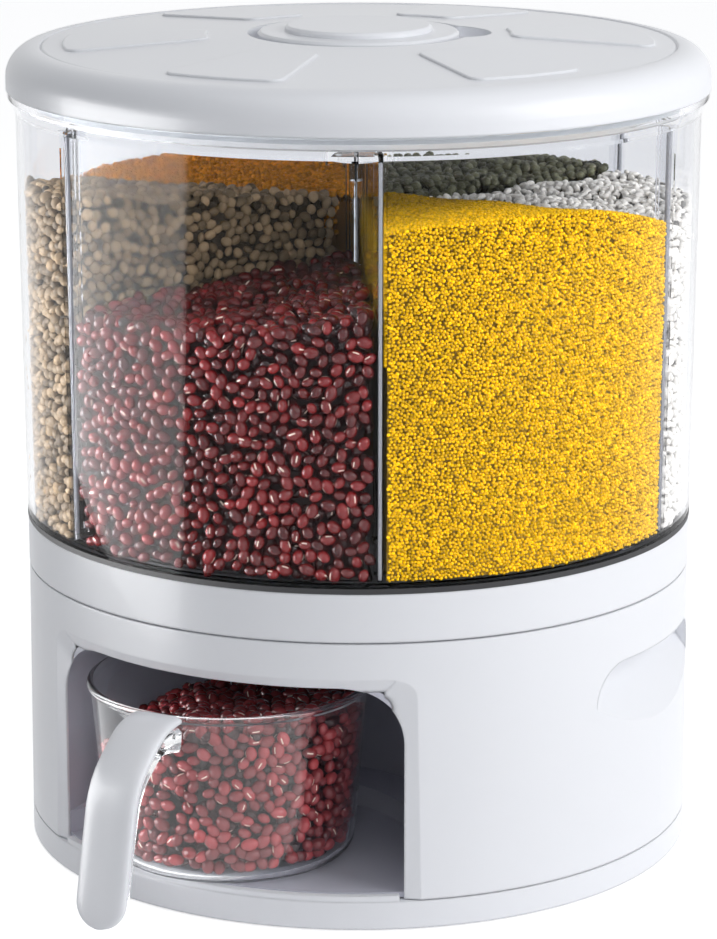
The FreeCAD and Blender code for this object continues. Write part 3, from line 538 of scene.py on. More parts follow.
class FinishFrame(bpy.types.Operator):
    """Gives every construction node its finish"""

    bl_idname = "dispenser.finish_frame"
    bl_label = "Finish the frame"

    def execute(self, context):
        for finish, nodes in NODE_FINISHES.items():
            for node in nodes:
                obj = NODES[node]
                obj.data.materials.clear()
                obj.data.materials.append(material_of(finish))
        return {"FINISHED"}


# Springs, fin edges and cup


def make_gate_springs():
    """Both springs of the gate: a wire ring screwed along Y."""
    low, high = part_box("gate_springs")
    wire = 0.6 * MM
    windings = 6
    winding_cuts = 14
    coil = 0.5 * (high.z - low.z) - 0.5 * wire
    coil_length = high.y - low.y - wire
    place_x = high.x - coil - 0.5 * wire
    place_z = 0.5 * (low.z + high.z)
    springs = []
    for side in (-1, 1):
        bpy.ops.object.select_all(action="DESELECT")
        place = (side * place_x, low.y + 0.5 * wire, place_z)
        bpy.ops.mesh.primitive_circle_add(vertices=6, radius=0.5 * wire, location=place)
        spring = bpy.context.object
        with editing():
            bpy.ops.transform.translate(value=(coil, 0, 0))
        turns = spring.modifiers.new("turns", "SCREW")
        turns.axis = "Y"
        turns.iterations = windings
        turns.screw_offset = coil_length / windings
        turns.steps = turns.render_steps = winding_cuts
        bpy.ops.object.modifier_apply(modifier="turns")
        with editing():
            bpy.ops.mesh.fill_holes(sides=8)
        springs.append(spring)
    pair = finish_piece(joined(springs), "gate_spring_pair", "gate", material_of("turned_steel"), crease=60.0)
    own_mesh(pair)
    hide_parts("gate_springs")


class BuildSprings(bpy.types.Operator):
    """Models the two springs of the gate"""

    bl_idname = "dispenser.build_springs"
    bl_label = "Build the springs"

    def execute(self, context):
        make_gate_springs()
        return {"FINISHED"}


def wall_radius(z):
    """Inside of the drum's wall at a height."""
    t = (z - sizes().wall_foot) / (fins_top - sizes().wall_foot)
    outside = sizes().drum_foot_radius + (sizes().drum_mouth_radius - sizes().drum_foot_radius) * t
    return outside - sizes().drum_wall


def make_fin_edges():
    """Frosted outer edges of the fins: one bevelled bar that leans with the wall, copied round the axis."""
    low = 129.0 * MM
    high = 276.0 * MM
    wide = 1.3 * MM
    deep = 1.3 * MM
    gap = 0.9 * MM
    bpy.ops.object.select_all(action="DESELECT")
    bpy.ops.mesh.primitive_cube_add(size=1)
    bar = bpy.context.object
    with editing():
        bpy.ops.transform.resize(value=(wide, deep, high - low), center_override=(0, 0, 0))
        bpy.ops.transform.translate(value=(0, 0, 0.5 * (low + high)))
        bpy.ops.mesh.bevel(offset=0.35 * MM, segments=2, affect="EDGES")
    for vertex in bar.data.vertices:
        vertex.co.y -= wall_radius(vertex.co.z) - gap - 0.5 * deep
    bars = []
    for i in range(COMPARTMENTS):
        fin_bar = bar.copy()
        fin_bar.data = bar.data.copy()
        fin_bar.rotation_euler = (0, 0, HALF_PITCH + i * PITCH)
        bpy.context.scene.collection.objects.link(fin_bar)
        bars.append(fin_bar)
    bpy.data.objects.remove(bar)
    edges = finish_piece(joined(bars), "fin_edges", "bin", material_of("fin_frost"))


class BuildFinEdges(bpy.types.Operator):
    """Models the frosted outer edges of the fins"""

    bl_idname = "dispenser.build_fin_edges"
    bl_label = "Build the fin edges"

    def execute(self, context):
        make_fin_edges()
        return {"FINISHED"}


def make_cup():
    """Clear cup with a thin wall, a rounded bead and the clear core of its handle."""
    outside = [(0.0, 15.3), (36.2, 15.3), (37.0, 14.3)] + arc_points((38.9, 21.3), 7.0, -90, -5, 7)
    outside += [(50.6, 76.4)] + arc_points((50.5, 78.3), 1.3, -60, 90, 6)
    inside = arc_points((50.1, 78.6), 1.0, 100, 180, 3) + [(48.7, 75.5)]
    inside += arc_points((38.9, 21.6), 5.1, -5, -90, 6) + [(0.0, 16.5)]
    middle = (sizes().cup_middle_x, sizes().cup_middle_y, 0)
    bowl = turned_piece("cup_bowl", in_metres(outside + inside), middle)
    corners = [(-137.6, 70.6, 0.0), (-151.0, 72.6, 6.0), (-167.6, 61.0, 8.0), (-177.9, 18.6, 0.0)]
    core = strap("cup_core", corners, 8.0, (4.8, 3.8, 3.5, 2.6, 2.2, 2.1, 2.0), power=5.0)
    cup = finish_piece(joined([bowl, core]), "clear_cup", "cup", material_of("cup_clear"), crease=50.0)
    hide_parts("measuring_cup")


def make_handle():
    """White cover of the handle, thick, rounded along its edges and round at its lower end."""
    corners = [(-139.8, 78.7, 0.0), (-151.0, 78.4, 7.5), (-171.2, 63.1, 9.5), (-182.7, 14.5, 0.0)]
    handle = strap("white_handle", corners, 9.7, (1.7, 2.2, 2.5, 2.6, 2.6, 2.6, 2.6), power=3.2)
    front = min(v.co.y for v in handle.data.vertices)
    for vertex in handle.data.vertices:
        vertex.co.y += handle_front - front
    handle = finish_piece(handle, "white_handle", "cup", material_of("white_gloss"), crease=50.0)
    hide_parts("handle_cover")


class BuildCup(bpy.types.Operator):
    """Models the clear measuring cup and the cover of its handle"""

    bl_idname = "dispenser.build_cup"
    bl_label = "Build the cup"

    def execute(self, context):
        make_cup()
        make_handle()
        return {"FINISHED"}


# Grain


class Kind:
    """One kind of grain: its length, width and thickness in millimetres, the segments and rings of its mesh,
    the dent in its side as a share of its width, and how much room its copies take."""

    def __init__(self, name, size, cuts, dent=0.0, room=0.98):
        self.name = name
        self.length, self.width, self.thickness = (side * MM for side in size)
        self.segments, self.rings = cuts
        self.dent = dent
        self.pitch = 0.5 * (self.length + self.width) * room

    @property
    def is_big(self):
        return self.pitch > 3 * MM

    @property
    def is_fine(self):
        return self.pitch <= 2 * MM

    @property
    def most(self):
        """How many copies one piece may hold."""
        return int(MOST_TRIANGLES / (2 * self.segments * (self.rings - 1)))

    @property
    def skin(self):
        return material_of(self.name + "_skin")

    # The mass's finish, painted shade: the grain's colour darkened
    @property
    def core(self):
        return material_of(self.name + "_core")


MOST_TRIANGLES = 190_000  # in one piece
LEAN = 0.35  # standard deviation, in radians, of how far grains lean out of the surface they lie on
SINK = 0.75  # of a grain's thickness, from one layer of grains to the next
WALL_MIDDLE = 200 * MM  # a height about half-way up the drum's wall
HEAP_TOP = 240 * MM  # about the height of the heaps' tops

RED_BEAN = Kind("red_bean", (5.9, 4.1, 3.9), (8, 6), dent=0.06, room=1.05)
# Its skin is painted light: lighter than the same red beans in the drum
CUP_BEAN = Kind("cup_bean", (6.2, 4.3, 4.1), (8, 6), dent=0.06)
MILLET = Kind("millet", (1.5, 1.35, 1.3), (5, 3))
RICE = Kind("rice", (4.6, 2.6, 2.2), (6, 5))
MUNG = Kind("mung", (4.6, 3.6, 3.5), (7, 5))
AMBER = Kind("amber", (2.3, 2.0, 1.9), (5, 4))
TAN = Kind("tan", (4.9, 3.9, 2.9), (7, 5))


def kernel(kind):
    """One grain along X: a sphere drawn out in edit mode, with its ends blunted and one side dented."""
    blunting = 0.16
    dent_focus = 2.2
    bpy.ops.object.select_all(action="DESELECT")
    upright = (0, math.pi / 2, 0)
    bpy.ops.mesh.primitive_uv_sphere_add(
        segments=kind.segments, ring_count=kind.rings, radius=0.5, rotation=upright
    )
    grain = bpy.context.object
    bpy.ops.object.transform_apply(rotation=True)
    with editing():
        size = (kind.length, kind.width, kind.thickness)
        bpy.ops.transform.resize(value=size, center_override=(0, 0, 0))
    for vertex in grain.data.vertices:
        along = vertex.co.x / (0.5 * kind.length)
        blunt = 1.0 + blunting * (1.0 - along * along)
        vertex.co.y *= blunt
        vertex.co.z *= blunt
        if vertex.co.y > 0:
            vertex.co.y -= kind.dent * kind.width * math.exp(-(along * dent_focus) ** 2)
    return grain


def directions(azimuths):
    """Outward, sideways and upward directions at azimuths from the front."""
    level = np.zeros_like(azimuths)
    outward = np.stack([np.sin(azimuths), -np.cos(azimuths), level], axis=1)
    side = np.stack([np.cos(azimuths), np.sin(azimuths), level], axis=1)
    up = np.tile([0.0, 0.0, 1.0], (len(azimuths), 1))
    return outward, side, up


def laid_frames(tangent_u, tangent_v, normal, rng):
    """Rotation matrices of grains on a surface, each turned in it, leaning out of it and rolled by chance."""
    count = len(normal)
    spin = rng.uniform(0, math.pi, count)[:, None]
    lean = rng.normal(0, LEAN, count)[:, None]
    roll = rng.uniform(0, TURN, count)[:, None]
    along = tangent_u * np.cos(spin) + tangent_v * np.sin(spin)
    along = along * np.cos(lean) + normal * np.sin(lean)
    across = np.cross(normal, along)
    across /= np.linalg.norm(across, axis=1)[:, None]
    across = across * np.cos(roll) + np.cross(along, across) * np.sin(roll)
    return np.stack([along, across, np.cross(along, across)], axis=2)


def scatter(width, height, pitch, rng):
    """Points of a shaken honeycomb over a rectangle, pushed apart so that none nearly touch."""
    row_share = 0.866
    shake = 0.42
    nearest = 0.86
    push_share = 0.4
    rounds = 6
    columns = int(width / pitch) + 4
    rows = int(height / (pitch * row_share)) + 4
    v, u = np.meshgrid(np.arange(rows), np.arange(columns), indexing="ij")
    along = (u + 0.5 * (v % 2) - 1.5) * pitch
    points = np.stack([along, (v - 1.5) * pitch * row_share], axis=2)
    points += rng.uniform(-shake, shake, points.shape) * pitch
    for _ in range(rounds):
        push = np.zeros_like(points)
        for du, dv in ((1, 0), (0, 1), (1, 1), (-1, 1), (2, 0), (0, 2)):
            gap = points - np.roll(points, (dv, du), axis=(0, 1))
            distance = np.linalg.norm(gap, axis=2, keepdims=True) + 1e-9
            near = np.clip(pitch * nearest - distance, 0, pitch) * (distance < pitch)
            step = gap / distance * near * push_share
            push += step
            push -= np.roll(step, (-dv, -du), axis=(0, 1))
        points += push
    points = points.reshape(-1, 2)
    keep = (points[:, 0] > 0) & (points[:, 0] < width) & (points[:, 1] > 0) & (points[:, 1] < height)
    return points[keep]


class Heap:
    """Where the grains of a heap lie, how they are turned, how dark each is painted as painted shade, and
    their sizes and tones.
    """

    def __init__(self, patches, rng):
        self.places, self.frames, self.painted_darkness = (np.concatenate(facts) for facts in zip(*patches))
        self.sizes = rng.uniform(0.8, 1.1, len(self.places))
        self.tones = rng.random(len(self.places))

    def parts(self, most):
        """The heap in parts of at most so many grains."""
        count = math.ceil(len(self.places) / most)
        for pick in np.array_split(np.arange(len(self.places)), count):
            part = copy.copy(self)
            for fact in ("places", "frames", "painted_darkness", "sizes", "tones"):
                setattr(part, fact, getattr(self, fact)[pick])
            yield part


def pour(name, kind, heap, body):
    """Copies one grain to many places in a single mesh, each with a tone, a painted shade and its own
    coordinates.
    """
    grain = kernel(kind)
    base = np.array([v.co for v in grain.data.vertices])
    loops = np.array([v for face in grain.data.polygons for v in face.vertices])
    starts = np.array([face.loop_start for face in grain.data.polygons])
    bpy.data.objects.remove(grain)
    count = len(heap.places)
    copies = np.arange(count)[:, None]
    moved = np.einsum("nij,kj->nki", heap.frames, base) * heap.sizes[:, None, None] + heap.places[:, None, :]
    mesh = bpy.data.meshes.new(name)
    mesh.vertices.add(count * len(base))
    mesh.loops.add(count * len(loops))
    mesh.polygons.add(count * len(starts))
    mesh.vertices.foreach_set("co", moved.astype(np.float32).ravel())
    mesh.loops.foreach_set("vertex_index", (loops + copies * len(base)).astype(np.int32).ravel())
    mesh.polygons.foreach_set("loop_start", (starts + copies * len(loops)).astype(np.int32).ravel())
    mesh.update(calc_edges=True)
    mesh.shade_smooth()
    for attribute_name, values in (("grain_tone", heap.tones), ("grain_depth", heap.painted_darkness)):
        data = mesh.attributes.new(attribute_name, "FLOAT", "POINT").data
        data.foreach_set("value", np.repeat(values, len(base)).astype(np.float32))
    own = np.tile(base / np.abs(base).max(axis=0), (count, 1))
    data = mesh.attributes.new("grain_place", "FLOAT_VECTOR", "POINT").data
    data.foreach_set("vector", own.astype(np.float32).ravel())
    mesh.materials.append(kind.skin)
    piece = bpy.data.objects.new(name, mesh)
    bpy.context.scene.collection.objects.link(piece)
    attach(piece, body)


# Grain in the compartments


class Fill:
    """The grain in one compartment, its heights given in millimetres. wall_levels are those of its top at the
    wall, beside one fin, in the middle and beside the other, and hub_level is its height at the hub. Through
    each fin it shows from side_lows up. The painted shades say how much darker its grains are painted at the
    wall and towards the hub: painted shade."""

    def __init__(self, kind, azimuth, wall_levels, hub_level, side_lows, painted_shades):
        self.kind = kind
        self.azimuth = azimuth
        self.wall_levels, self.side_lows = in_metres([wall_levels, side_lows])
        self.hub_level = hub_level * MM
        self.wall_shade, self.painted_hub_shade = painted_shades
        self.foot = sizes().fill_foot
        self.top = max(self.wall_levels) + 2 * MM
        self.swell = 1.2 * MM if kind.is_big else 0.4 * MM
        self.reach = wall_radius(HEAP_TOP)
        self.radial_end = wall_radius(WALL_MIDDLE) - 0.5 * kind.length

    def at_wall(self, turn):
        """Height of the top at the wall, turn radians from the compartment's middle."""
        start, middle, end = self.wall_levels
        share = turn / HALF_PITCH
        return middle + 0.5 * (end - start) * share + (0.5 * (start + end) - middle) * share * share

    def plain(self, r, turn):
        """Height of the top without its swell."""
        return self.hub_level + (self.at_wall(turn) - self.hub_level) * r / self.reach

    def height(self, r, turn):
        """Height of the top at a radius and a turn from the compartment's middle."""
        waves_out = 130  # radians of wave in a metre
        waves_round = 9
        return self.plain(r, turn) + self.swell * np.sin(r * waves_out + (turn + self.azimuth) * waves_round)


def wall_grains(fill, rng):
    """Grains against the drum's wall, in two layers where they are big."""
    kind = fill.kind
    rib_gap = 0.35 * kind.thickness
    wall_gap = 0.58 * kind.thickness
    layer_gap = 0.8
    proud = 0.2 * kind.thickness
    for layer in range(2 if kind.is_big else 1):
        r_mid = wall_radius(WALL_MIDDLE) - 0.5 * kind.thickness - layer * SINK * kind.thickness
        arc = 2 * (HALF_PITCH * r_mid - sizes().rib_edge - rib_gap)
        points = scatter(arc, fill.top - fill.foot, kind.pitch, rng)
        az = fill.azimuth + (points[:, 0] - arc / 2) / r_mid
        z = fill.foot + points[:, 1]
        keep = z < fill.height(r_mid, az - fill.azimuth) + proud
        az, z = az[keep], z[keep]
        depth = rng.uniform(0.0, 0.25, len(az)) * kind.thickness
        radius = wall_radius(z) - wall_gap - layer * layer_gap * kind.thickness - depth
        outward, side, up = directions(az)
        places = outward * radius[:, None] + up * z[:, None]
        # Painted shade: the lower layer and grains set deeper are painted darker, and all of them darker by
        # the painted wall shade
        yield places, laid_frames(side, up, outward, rng), layer + depth / kind.thickness + fill.wall_shade


def fin_grains(fill, rng):
    """Grains against both fins, from where they show upwards."""
    kind = fill.kind
    radial_start = 10 * MM
    margin = 4 * MM
    for sign, side_low in zip((-1, 1), fill.side_lows):
        if side_low >= fill.top:
            continue
        points = scatter(fill.radial_end - radial_start, fill.top + margin - side_low, kind.pitch, rng)
        r = radial_start + points[:, 0]
        z = side_low + points[:, 1]
        keep = z < fill.height(r, sign * HALF_PITCH) - 0.5 * kind.thickness
        r, z = r[keep], z[keep]
        outward, side, up = directions(np.full(len(r), fill.azimuth + sign * HALF_PITCH))
        normal = sign * side
        depth = rng.uniform(0.0, 0.3, len(r))
        inset = 0.5 * sizes().fin_thickness + (0.6 + depth) * kind.thickness
        places = outward * r[:, None] - normal * inset[:, None] + up * z[:, None]
        # Painted shade: grains set deeper against the fin are painted darker
        yield places, laid_frames(outward, up, normal, rng), depth


def top_grains(fill, rng):
    """Grains on top, in one layer where they are fine and in two where they aren't."""
    kind = fill.kind
    radial_start = 8 * MM
    radial_end = fill.radial_end
    shaded_reach = 70 * MM
    for layer in range(1 if kind.is_fine else 2):
        points = scatter(2 * radial_end, radial_end, kind.pitch, rng)
        x, y = points[:, 0] - radial_end, points[:, 1]
        r, turn = np.hypot(x, y), np.arctan2(x, y)
        room = r * np.sin(HALF_PITCH - np.abs(turn)) - 0.5 * sizes().fin_thickness - 0.5 * kind.width
        keep = (r < radial_end) & (np.abs(turn) < HALF_PITCH) & (room > 0) & (r > radial_start)
        r, az = r[keep], turn[keep] + fill.azimuth
        jitter = rng.uniform(-0.25, 0.25, len(r)) * kind.thickness
        z = fill.height(r, az - fill.azimuth) + jitter - layer * SINK * kind.thickness
        outward, side, up = directions(az)
        places = outward * r[:, None] + up * z[:, None]
        # Painted shade: the lower layer is painted darker, and the grains darker still towards the hub
        inwards = np.clip((radial_end - r) / shaded_reach, 0.0, 1.0)
        yield places, laid_frames(outward, side, up, rng), layer + fill.painted_hub_shade * inwards ** 1.5


def fill_body(name, fill):
    """The mass of grain behind the grains that show: a wedge spun from its section and shaped to the top."""
    kind = fill.kind
    behind = (1.5 if kind.is_big else 0.95) * kind.thickness
    shift = 2 * (0.5 * sizes().fin_thickness + 1.1 * kind.thickness)
    r_out = wall_radius(fill.foot) - behind - shift
    r_in = 6 * MM
    cone_foot = 62 * MM - shift
    cone_top = 178 * MM
    sunk = 0.9 * kind.thickness
    section = (
        (r_out, fill.foot), (r_out, HEAP_TOP), (r_in, HEAP_TOP), (r_in, cone_top), (cone_foot, fill.foot),
    )
    corners = [Vector((r, 0, z)) for r, z in section]
    bpy.ops.object.select_all(action="DESELECT")
    bpy.ops.mesh.primitive_plane_add(size=1 * MM)
    body = bpy.context.object
    with editing():
        bpy.ops.mesh.merge(type="CENTER")
        bpy.ops.transform.translate(value=corners[0])
        for here, there in zip(corners, corners[1:]):
            bpy.ops.mesh.extrude_region_move(TRANSFORM_OT_translate={"value": there - here})
        bpy.ops.mesh.select_all(action="SELECT")
        bpy.ops.mesh.edge_face_add()
        start = math.pi / 2 - fill.azimuth - HALF_PITCH
        bpy.ops.transform.rotate(value=start, orient_axis="Z", center_override=(0, 0, 0))
        bpy.ops.mesh.select_all(action="SELECT")
        bpy.ops.mesh.spin(steps=14, angle=2 * HALF_PITCH, center=(0, 0, 0), axis=(0, 0, 1))
        bpy.ops.mesh.select_all(action="SELECT")
        move = (shift * math.sin(fill.azimuth), -shift * math.cos(fill.azimuth), 0)
        bpy.ops.transform.translate(value=move)
    for vertex in body.data.vertices:
        if abs(vertex.co.z - HEAP_TOP) < 0.1 * MM:
            r = math.hypot(vertex.co.x, vertex.co.y)
            turn = math.remainder(math.atan2(vertex.co.x, -vertex.co.y) - fill.azimuth, TURN)
            vertex.co.z = fill.plain(r, turn) - sunk
    # Painted shade: the mass takes the grain's colour darkened for the gaps between grains
    finish_piece(body, name, "bin", kind.core, crease=30.0)


def fill_compartment(name, fill, rng):
    """Lays the grains that show, in as many pieces as they need, and the mass behind them."""
    patches = [*wall_grains(fill, rng), *fin_grains(fill, rng), *top_grains(fill, rng)]
    for i, part in enumerate(Heap(patches, rng).parts(fill.kind.most)):
        pour(f"{name}_{i + 1}", fill.kind, part, "bin")
    fill_body(name + "_mass", fill)


HIDDEN = 1000  # higher than any grain, so none is laid against that fin

# Compartment by compartment from the front: name, kind, then in millimetres the levels at the wall, the level
# at the hub and the lowest that shows at each fin, then the painted shade at the wall and at the hub
FILLS = (
    ("red_beans", RED_BEAN, (213, 213.5, 223), 222.5, (HIDDEN, HIDDEN), (0.0, 0.6)),
    ("yellow_millet", MILLET, (250.5, 254.5, 243), 244.5, (205, HIDDEN), (0.0, 0.6)),
    ("white_rice", RICE, (240, 243, 240), 237, (228, HIDDEN), (0.12, 0.0)),
    ("mung_beans", MUNG, (240, 243, 242), 240, (230, 230), (0.0, 0.1)),
    ("amber_grain", AMBER, (241, 243, 241), 242, (HIDDEN, 228), (0.0, 0.1)),
    ("tan_grain", TAN, (237, 249, 252), 242, (HIDDEN, 203), (0.5, 0.1)),
)


class FillCompartments(bpy.types.Operator):
    """Fills the six compartments with grain"""

    bl_idname = "dispenser.fill_compartments"
    bl_label = "Fill the compartments"

    def execute(self, context):
        first_seed = 11
        for i, (name, kind, *shape) in enumerate(FILLS):
            rng = np.random.default_rng(first_seed + i)
            fill_compartment(name, Fill(kind, i * PITCH, *shape), rng)
        return {"FINISHED"}


# Beans in the cup


def cup_level(x, y):
    """Height of the beans in the cup: low on the camera's left, and almost up to the rim on the right."""
    middle_level = 68.5 * MM
    left_slope, right_slope, front_slope = 0.36, 0.06, 0.13
    flat_left = 12.0 * MM
    view = bpy.context.scene.dispenser_studio.azimuth
    across = x * np.cos(view) + y * np.sin(view)
    towards = x * np.sin(view) - y * np.cos(view)
    left = np.maximum(0.0, -across - flat_left)
    right = np.maximum(0.0, across)
    return middle_level - left_slope * left + right_slope * right + front_slope * towards


def cup_inner_radius(z):
    """Inside of the cup at a height."""
    t = (z - sizes().cup_floor) / (sizes().cup_rim - sizes().cup_floor)
    outside = sizes().cup_foot_radius + (sizes().cup_rim_radius - sizes().cup_foot_radius) * t
    return outside - sizes().cup_wall


def cup_wall_beans(kind, middle, rng):
    """Two layers of beans round the cup's wall, drawn in over its rounded foot."""
    floor = sizes().cup_floor
    half_way_up = 45 * MM
    rounding = 6 * MM
    for layer in range(2):
        r_mid = cup_inner_radius(half_way_up) - (0.6 + SINK * layer) * kind.thickness
        points = scatter(TURN * r_mid, sizes().cup_rim - floor, kind.pitch, rng)
        az = points[:, 0] / r_mid
        z = floor + 0.72 * kind.thickness + points[:, 1]
        over_corner = np.maximum(0.0, floor + rounding - z)
        depth = layer + rng.uniform(0.0, 0.25, len(z))
        inset = (0.62 + SINK * depth) * kind.thickness + 0.8 * over_corner
        radius = cup_inner_radius(z) - inset
        x, y = radius * np.sin(az), -radius * np.cos(az)
        keep = z < cup_level(x, y)
        outward, side, up = directions(az[keep])
        places = np.stack([x[keep], y[keep], z[keep]], axis=1) + middle
        # Painted shade: the lower layer and beans set deeper are painted darker
        yield places, laid_frames(side, up, outward, rng), depth[keep]


def cup_top_beans(kind, middle, rng):
    """Two layers of beans on top."""
    near_the_rim = 70 * MM
    reach = cup_inner_radius(near_the_rim) - 0.6 * kind.thickness
    for layer in range(2):
        points = scatter(2 * reach, 2 * reach, kind.pitch, rng) - reach
        x, y = points[np.hypot(points[:, 0], points[:, 1]) < reach].T
        z = cup_level(x, y) + (rng.uniform(-0.25, 0.3, len(x)) - 0.7 * layer) * kind.thickness
        right, back, up = (np.tile(axis, (len(x), 1)) for axis in np.eye(3))
        places = np.stack([x, y, z], axis=1) + middle
        # Painted shade: the beans on top are painted darker by 0.45, the lower layer more
        yield places, laid_frames(right, back, up, rng), np.full(len(x), layer + 0.45)


def cup_mass(name, kind):
    """The mass of beans behind those that show: a cylinder shaped to the cup and to the beans' slope."""
    foot = sizes().cup_floor + 0.9 * kind.thickness
    size = 30 * MM
    shoulder = 66 * MM
    bpy.ops.object.select_all(action="DESELECT")
    place = (0, 0, foot + size / 2)
    bpy.ops.mesh.primitive_cylinder_add(vertices=40, radius=size, depth=size, location=place)
    mass = bpy.context.object
    bpy.ops.object.transform_apply(location=True)
    with editing():
        bpy.ops.mesh.bevel(offset=4 * MM, segments=2, affect="EDGES")
    for vertex in mass.data.vertices:
        high = vertex.co.z > foot + size / 2
        share = math.hypot(vertex.co.x, vertex.co.y) / size
        r = share * (cup_inner_radius(shoulder if high else foot) - 1.75 * kind.thickness)
        turn = math.atan2(vertex.co.y, vertex.co.x)
        vertex.co.x = r * math.cos(turn)
        vertex.co.y = r * math.sin(turn)
        if high:
            below_top = foot + size - vertex.co.z
            vertex.co.z = cup_level(vertex.co.x, vertex.co.y) - 1.1 * kind.thickness - below_top
        vertex.co.x += sizes().cup_middle_x
        vertex.co.y += sizes().cup_middle_y
    # Painted shade: the mass takes the beans' colour darkened for the gaps between them
    finish_piece(mass, name, "cup", kind.core, crease=40.0)


class FillCup(bpy.types.Operator):
    """Fills the measuring cup with red beans"""

    bl_idname = "dispenser.fill_cup"
    bl_label = "Fill the cup"

    def execute(self, context):
        rng = np.random.default_rng(21)
        middle = np.array([sizes().cup_middle_x, sizes().cup_middle_y, 0.0])
        patches = [*cup_wall_beans(CUP_BEAN, middle, rng), *cup_top_beans(CUP_BEAN, middle, rng)]
        pour("cup_beans", CUP_BEAN, Heap(patches, rng), "cup")
        cup_mass("cup_beans_mass", CUP_BEAN)
        return {"FINISHED"}


# Stage


def seen_rays(tree):
    """Socket that is 1 for camera, glossy and transmission rays and 0 for the rest."""
    path = add_node(tree, "LightPath").outputs
    direct = calculate(tree, "MAXIMUM", path["Is Camera Ray"], path["Is Transmission Ray"])
    return calculate(tree, "MAXIMUM", direct, path["Is Glossy Ray"])


def make_floor():
    """Pale floor that looks near white and keeps the shadow."""
    bpy.ops.object.select_all(action="DESELECT")
    bpy.ops.mesh.primitive_circle_add(vertices=96, radius=6.0, fill_type="NGON")
    floor = bpy.context.object
    floor.name = "studio_floor"
    material, tree, shader = shader_tree("floor_paper")
    glow = calculate(tree, "MULTIPLY", seen_rays(tree), 0.68)
    feed(tree, shader, {
        "Base Color": (0.86, 0.86, 0.87, 1.0),
        "Roughness": 0.9,
        "Emission Color": (1.0, 1.0, 1.0, 1.0),
        "Emission Strength": glow,
    })
    floor.data.materials.append(material)


def make_background():
    """White to the camera, to glass and to gloss, and a soft fill to everything else."""
    world = bpy.data.worlds.new("studio")
    bpy.context.scene.world = world
    world.use_nodes = True
    tree = world.node_tree
    tree.nodes.clear()
    fill = add_node(tree, "Background", {"Color": (0.93, 0.96, 1.0, 1.0), "Strength": 0.28})
    shown = add_node(tree, "Background", {"Color": (1.0, 1.0, 1.0, 1.0)})
    surface = mixed_shaders(tree, seen_rays(tree), fill.outputs["Background"], shown.outputs["Background"])
    add_node(tree, "OutputWorld", {"Surface": surface})


def softbox(name, degrees, distance, height, size, watts, roll=0.0):
    """A soft lamp panel that faces the object, some degrees to the right of the camera, rolled by others."""
    azimuth = bpy.context.scene.dispenser_studio.azimuth + math.radians(degrees)
    place = Vector((math.sin(azimuth) * distance, -math.cos(azimuth) * distance, height))
    object_middle = Vector((0, 0, 0.15))
    aim = (object_middle - place).to_track_quat("-Z", "Y").to_euler()
    bpy.ops.object.select_all(action="DESELECT")
    bpy.ops.object.light_add(type="AREA", location=place, rotation=aim)
    lamp = bpy.context.object
    lamp.name = name
    lamp.data.shape = "RECTANGLE"
    lamp.data.size, lamp.data.size_y = size
    lamp.data.energy = watts
    lamp.rotation_euler.rotate_axis("Z", math.radians(roll))
    lamp.visible_camera = False
    return lamp


def make_lamps():
    """Key softbox on the right, one over the camera, a broad one overhead and a gloss panel on the left."""
    softbox("key_panel", 66, distance=1.1, height=0.6, size=(0.8, 0.9), watts=8.2)
    front = softbox("front_panel", 12, distance=1.5, height=0.95, size=(1.1, 0.8), watts=3.9)
    front.visible_glossy = False
    softbox("top_panel", 10, distance=0.35, height=1.3, size=(1.1, 1.1), watts=2.6)
    left_place = {"distance": 0.4355, "height": 0.165, "size": (0.365, 0.30)}
    left = softbox("left_gloss_panel", -74.7, watts=3.1, roll=-10, **left_place)
    left.visible_diffuse = False


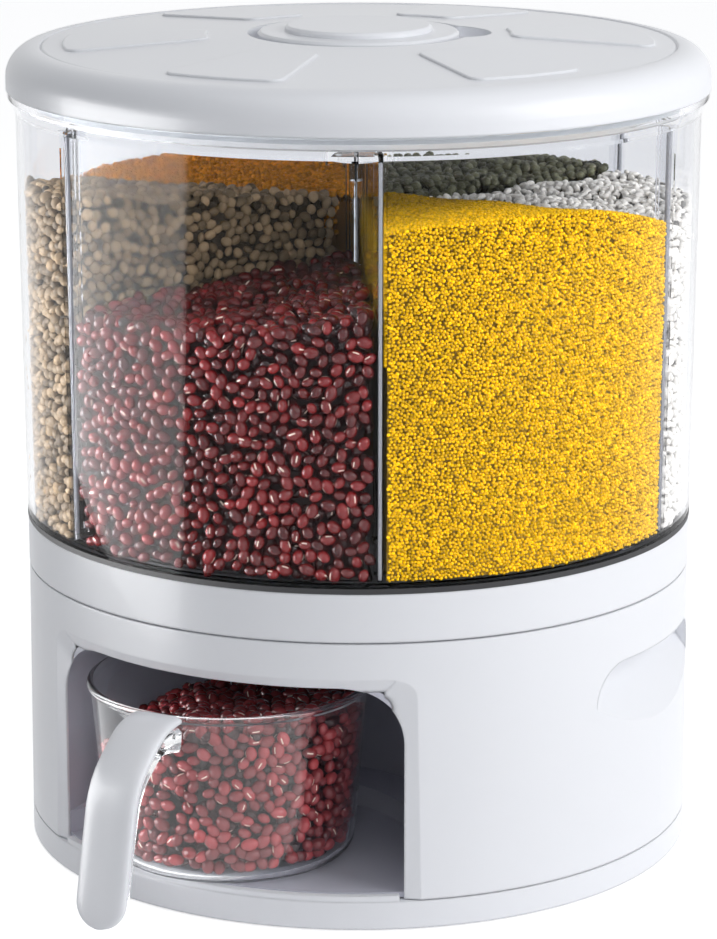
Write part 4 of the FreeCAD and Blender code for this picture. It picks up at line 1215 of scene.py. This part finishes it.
def make_camera():
    """Camera at the photograph's place and angle."""
    studio = bpy.context.scene.dispenser_studio
    place = Vector((math.sin(studio.azimuth), -math.cos(studio.azimuth), 0)) * studio.distance
    place.z = studio.height
    turn = (math.pi / 2 - studio.dip, 0, studio.azimuth)
    bpy.ops.object.select_all(action="DESELECT")
    bpy.ops.object.camera_add(location=place, rotation=turn)
    camera = bpy.context.object
    camera.name = "photo_camera"
    camera.data.lens = studio.lens
    camera.data.sensor_width = 36.0
    camera.data.clip_start = 0.05
    camera.data.clip_end = 30.0
    bpy.context.scene.camera = camera
    bpy.context.scene.view_settings.view_transform = "Standard"


class BuildStage(bpy.types.Operator):
    """Sets up the floor, the lamps, the background and the camera"""

    bl_idname = "dispenser.build_stage"
    bl_label = "Build the stage"

    def execute(self, context):
        make_floor()
        make_background()
        make_lamps()
        make_camera()
        return {"FINISHED"}


class DISPENSER_PT_build(bpy.types.Panel):
    """Buttons for the pieces and the stage"""

    bl_label = "Grain dispenser"
    bl_space_type = "VIEW_3D"
    bl_region_type = "UI"
    bl_category = "Dispenser"

    def draw(self, context):
        layout = self.layout
        for step in STEPS:
            layout.operator(step.bl_idname)
        layout.prop(context.scene.dispenser_sizes, "drum_wall")
        layout.prop(context.scene.dispenser_colours, "white")


SETTINGS = {
    "dispenser_sizes": DispenserSizes,
    "dispenser_colours": DispenserColours,
    "dispenser_studio": StudioSettings,
}
STEPS = (FinishFrame, BuildSprings, BuildFinEdges, BuildCup, FillCompartments, FillCup, BuildStage)
CLASSES = (*SETTINGS.values(), *STEPS, DISPENSER_PT_build)


def register():
    for cls in CLASSES:
        bpy.utils.register_class(cls)
    for name, group in SETTINGS.items():
        setattr(bpy.types.Scene, name, bpy.props.PointerProperty(type=group))


def unregister():
    for name in SETTINGS:
        delattr(bpy.types.Scene, name)
    for cls in reversed(CLASSES):
        bpy.utils.unregister_class(cls)


def main():
    register()
    bpy.ops.object.select_all(action="DESELECT")
    bpy.ops.dispenser.finish_frame()
    bpy.ops.dispenser.build_springs()
    bpy.ops.dispenser.build_fin_edges()
    bpy.ops.dispenser.build_cup()
    bpy.ops.dispenser.fill_compartments()
    bpy.ops.dispenser.fill_cup()
    bpy.ops.dispenser.build_stage()


if __name__ == "__main__":
    main()
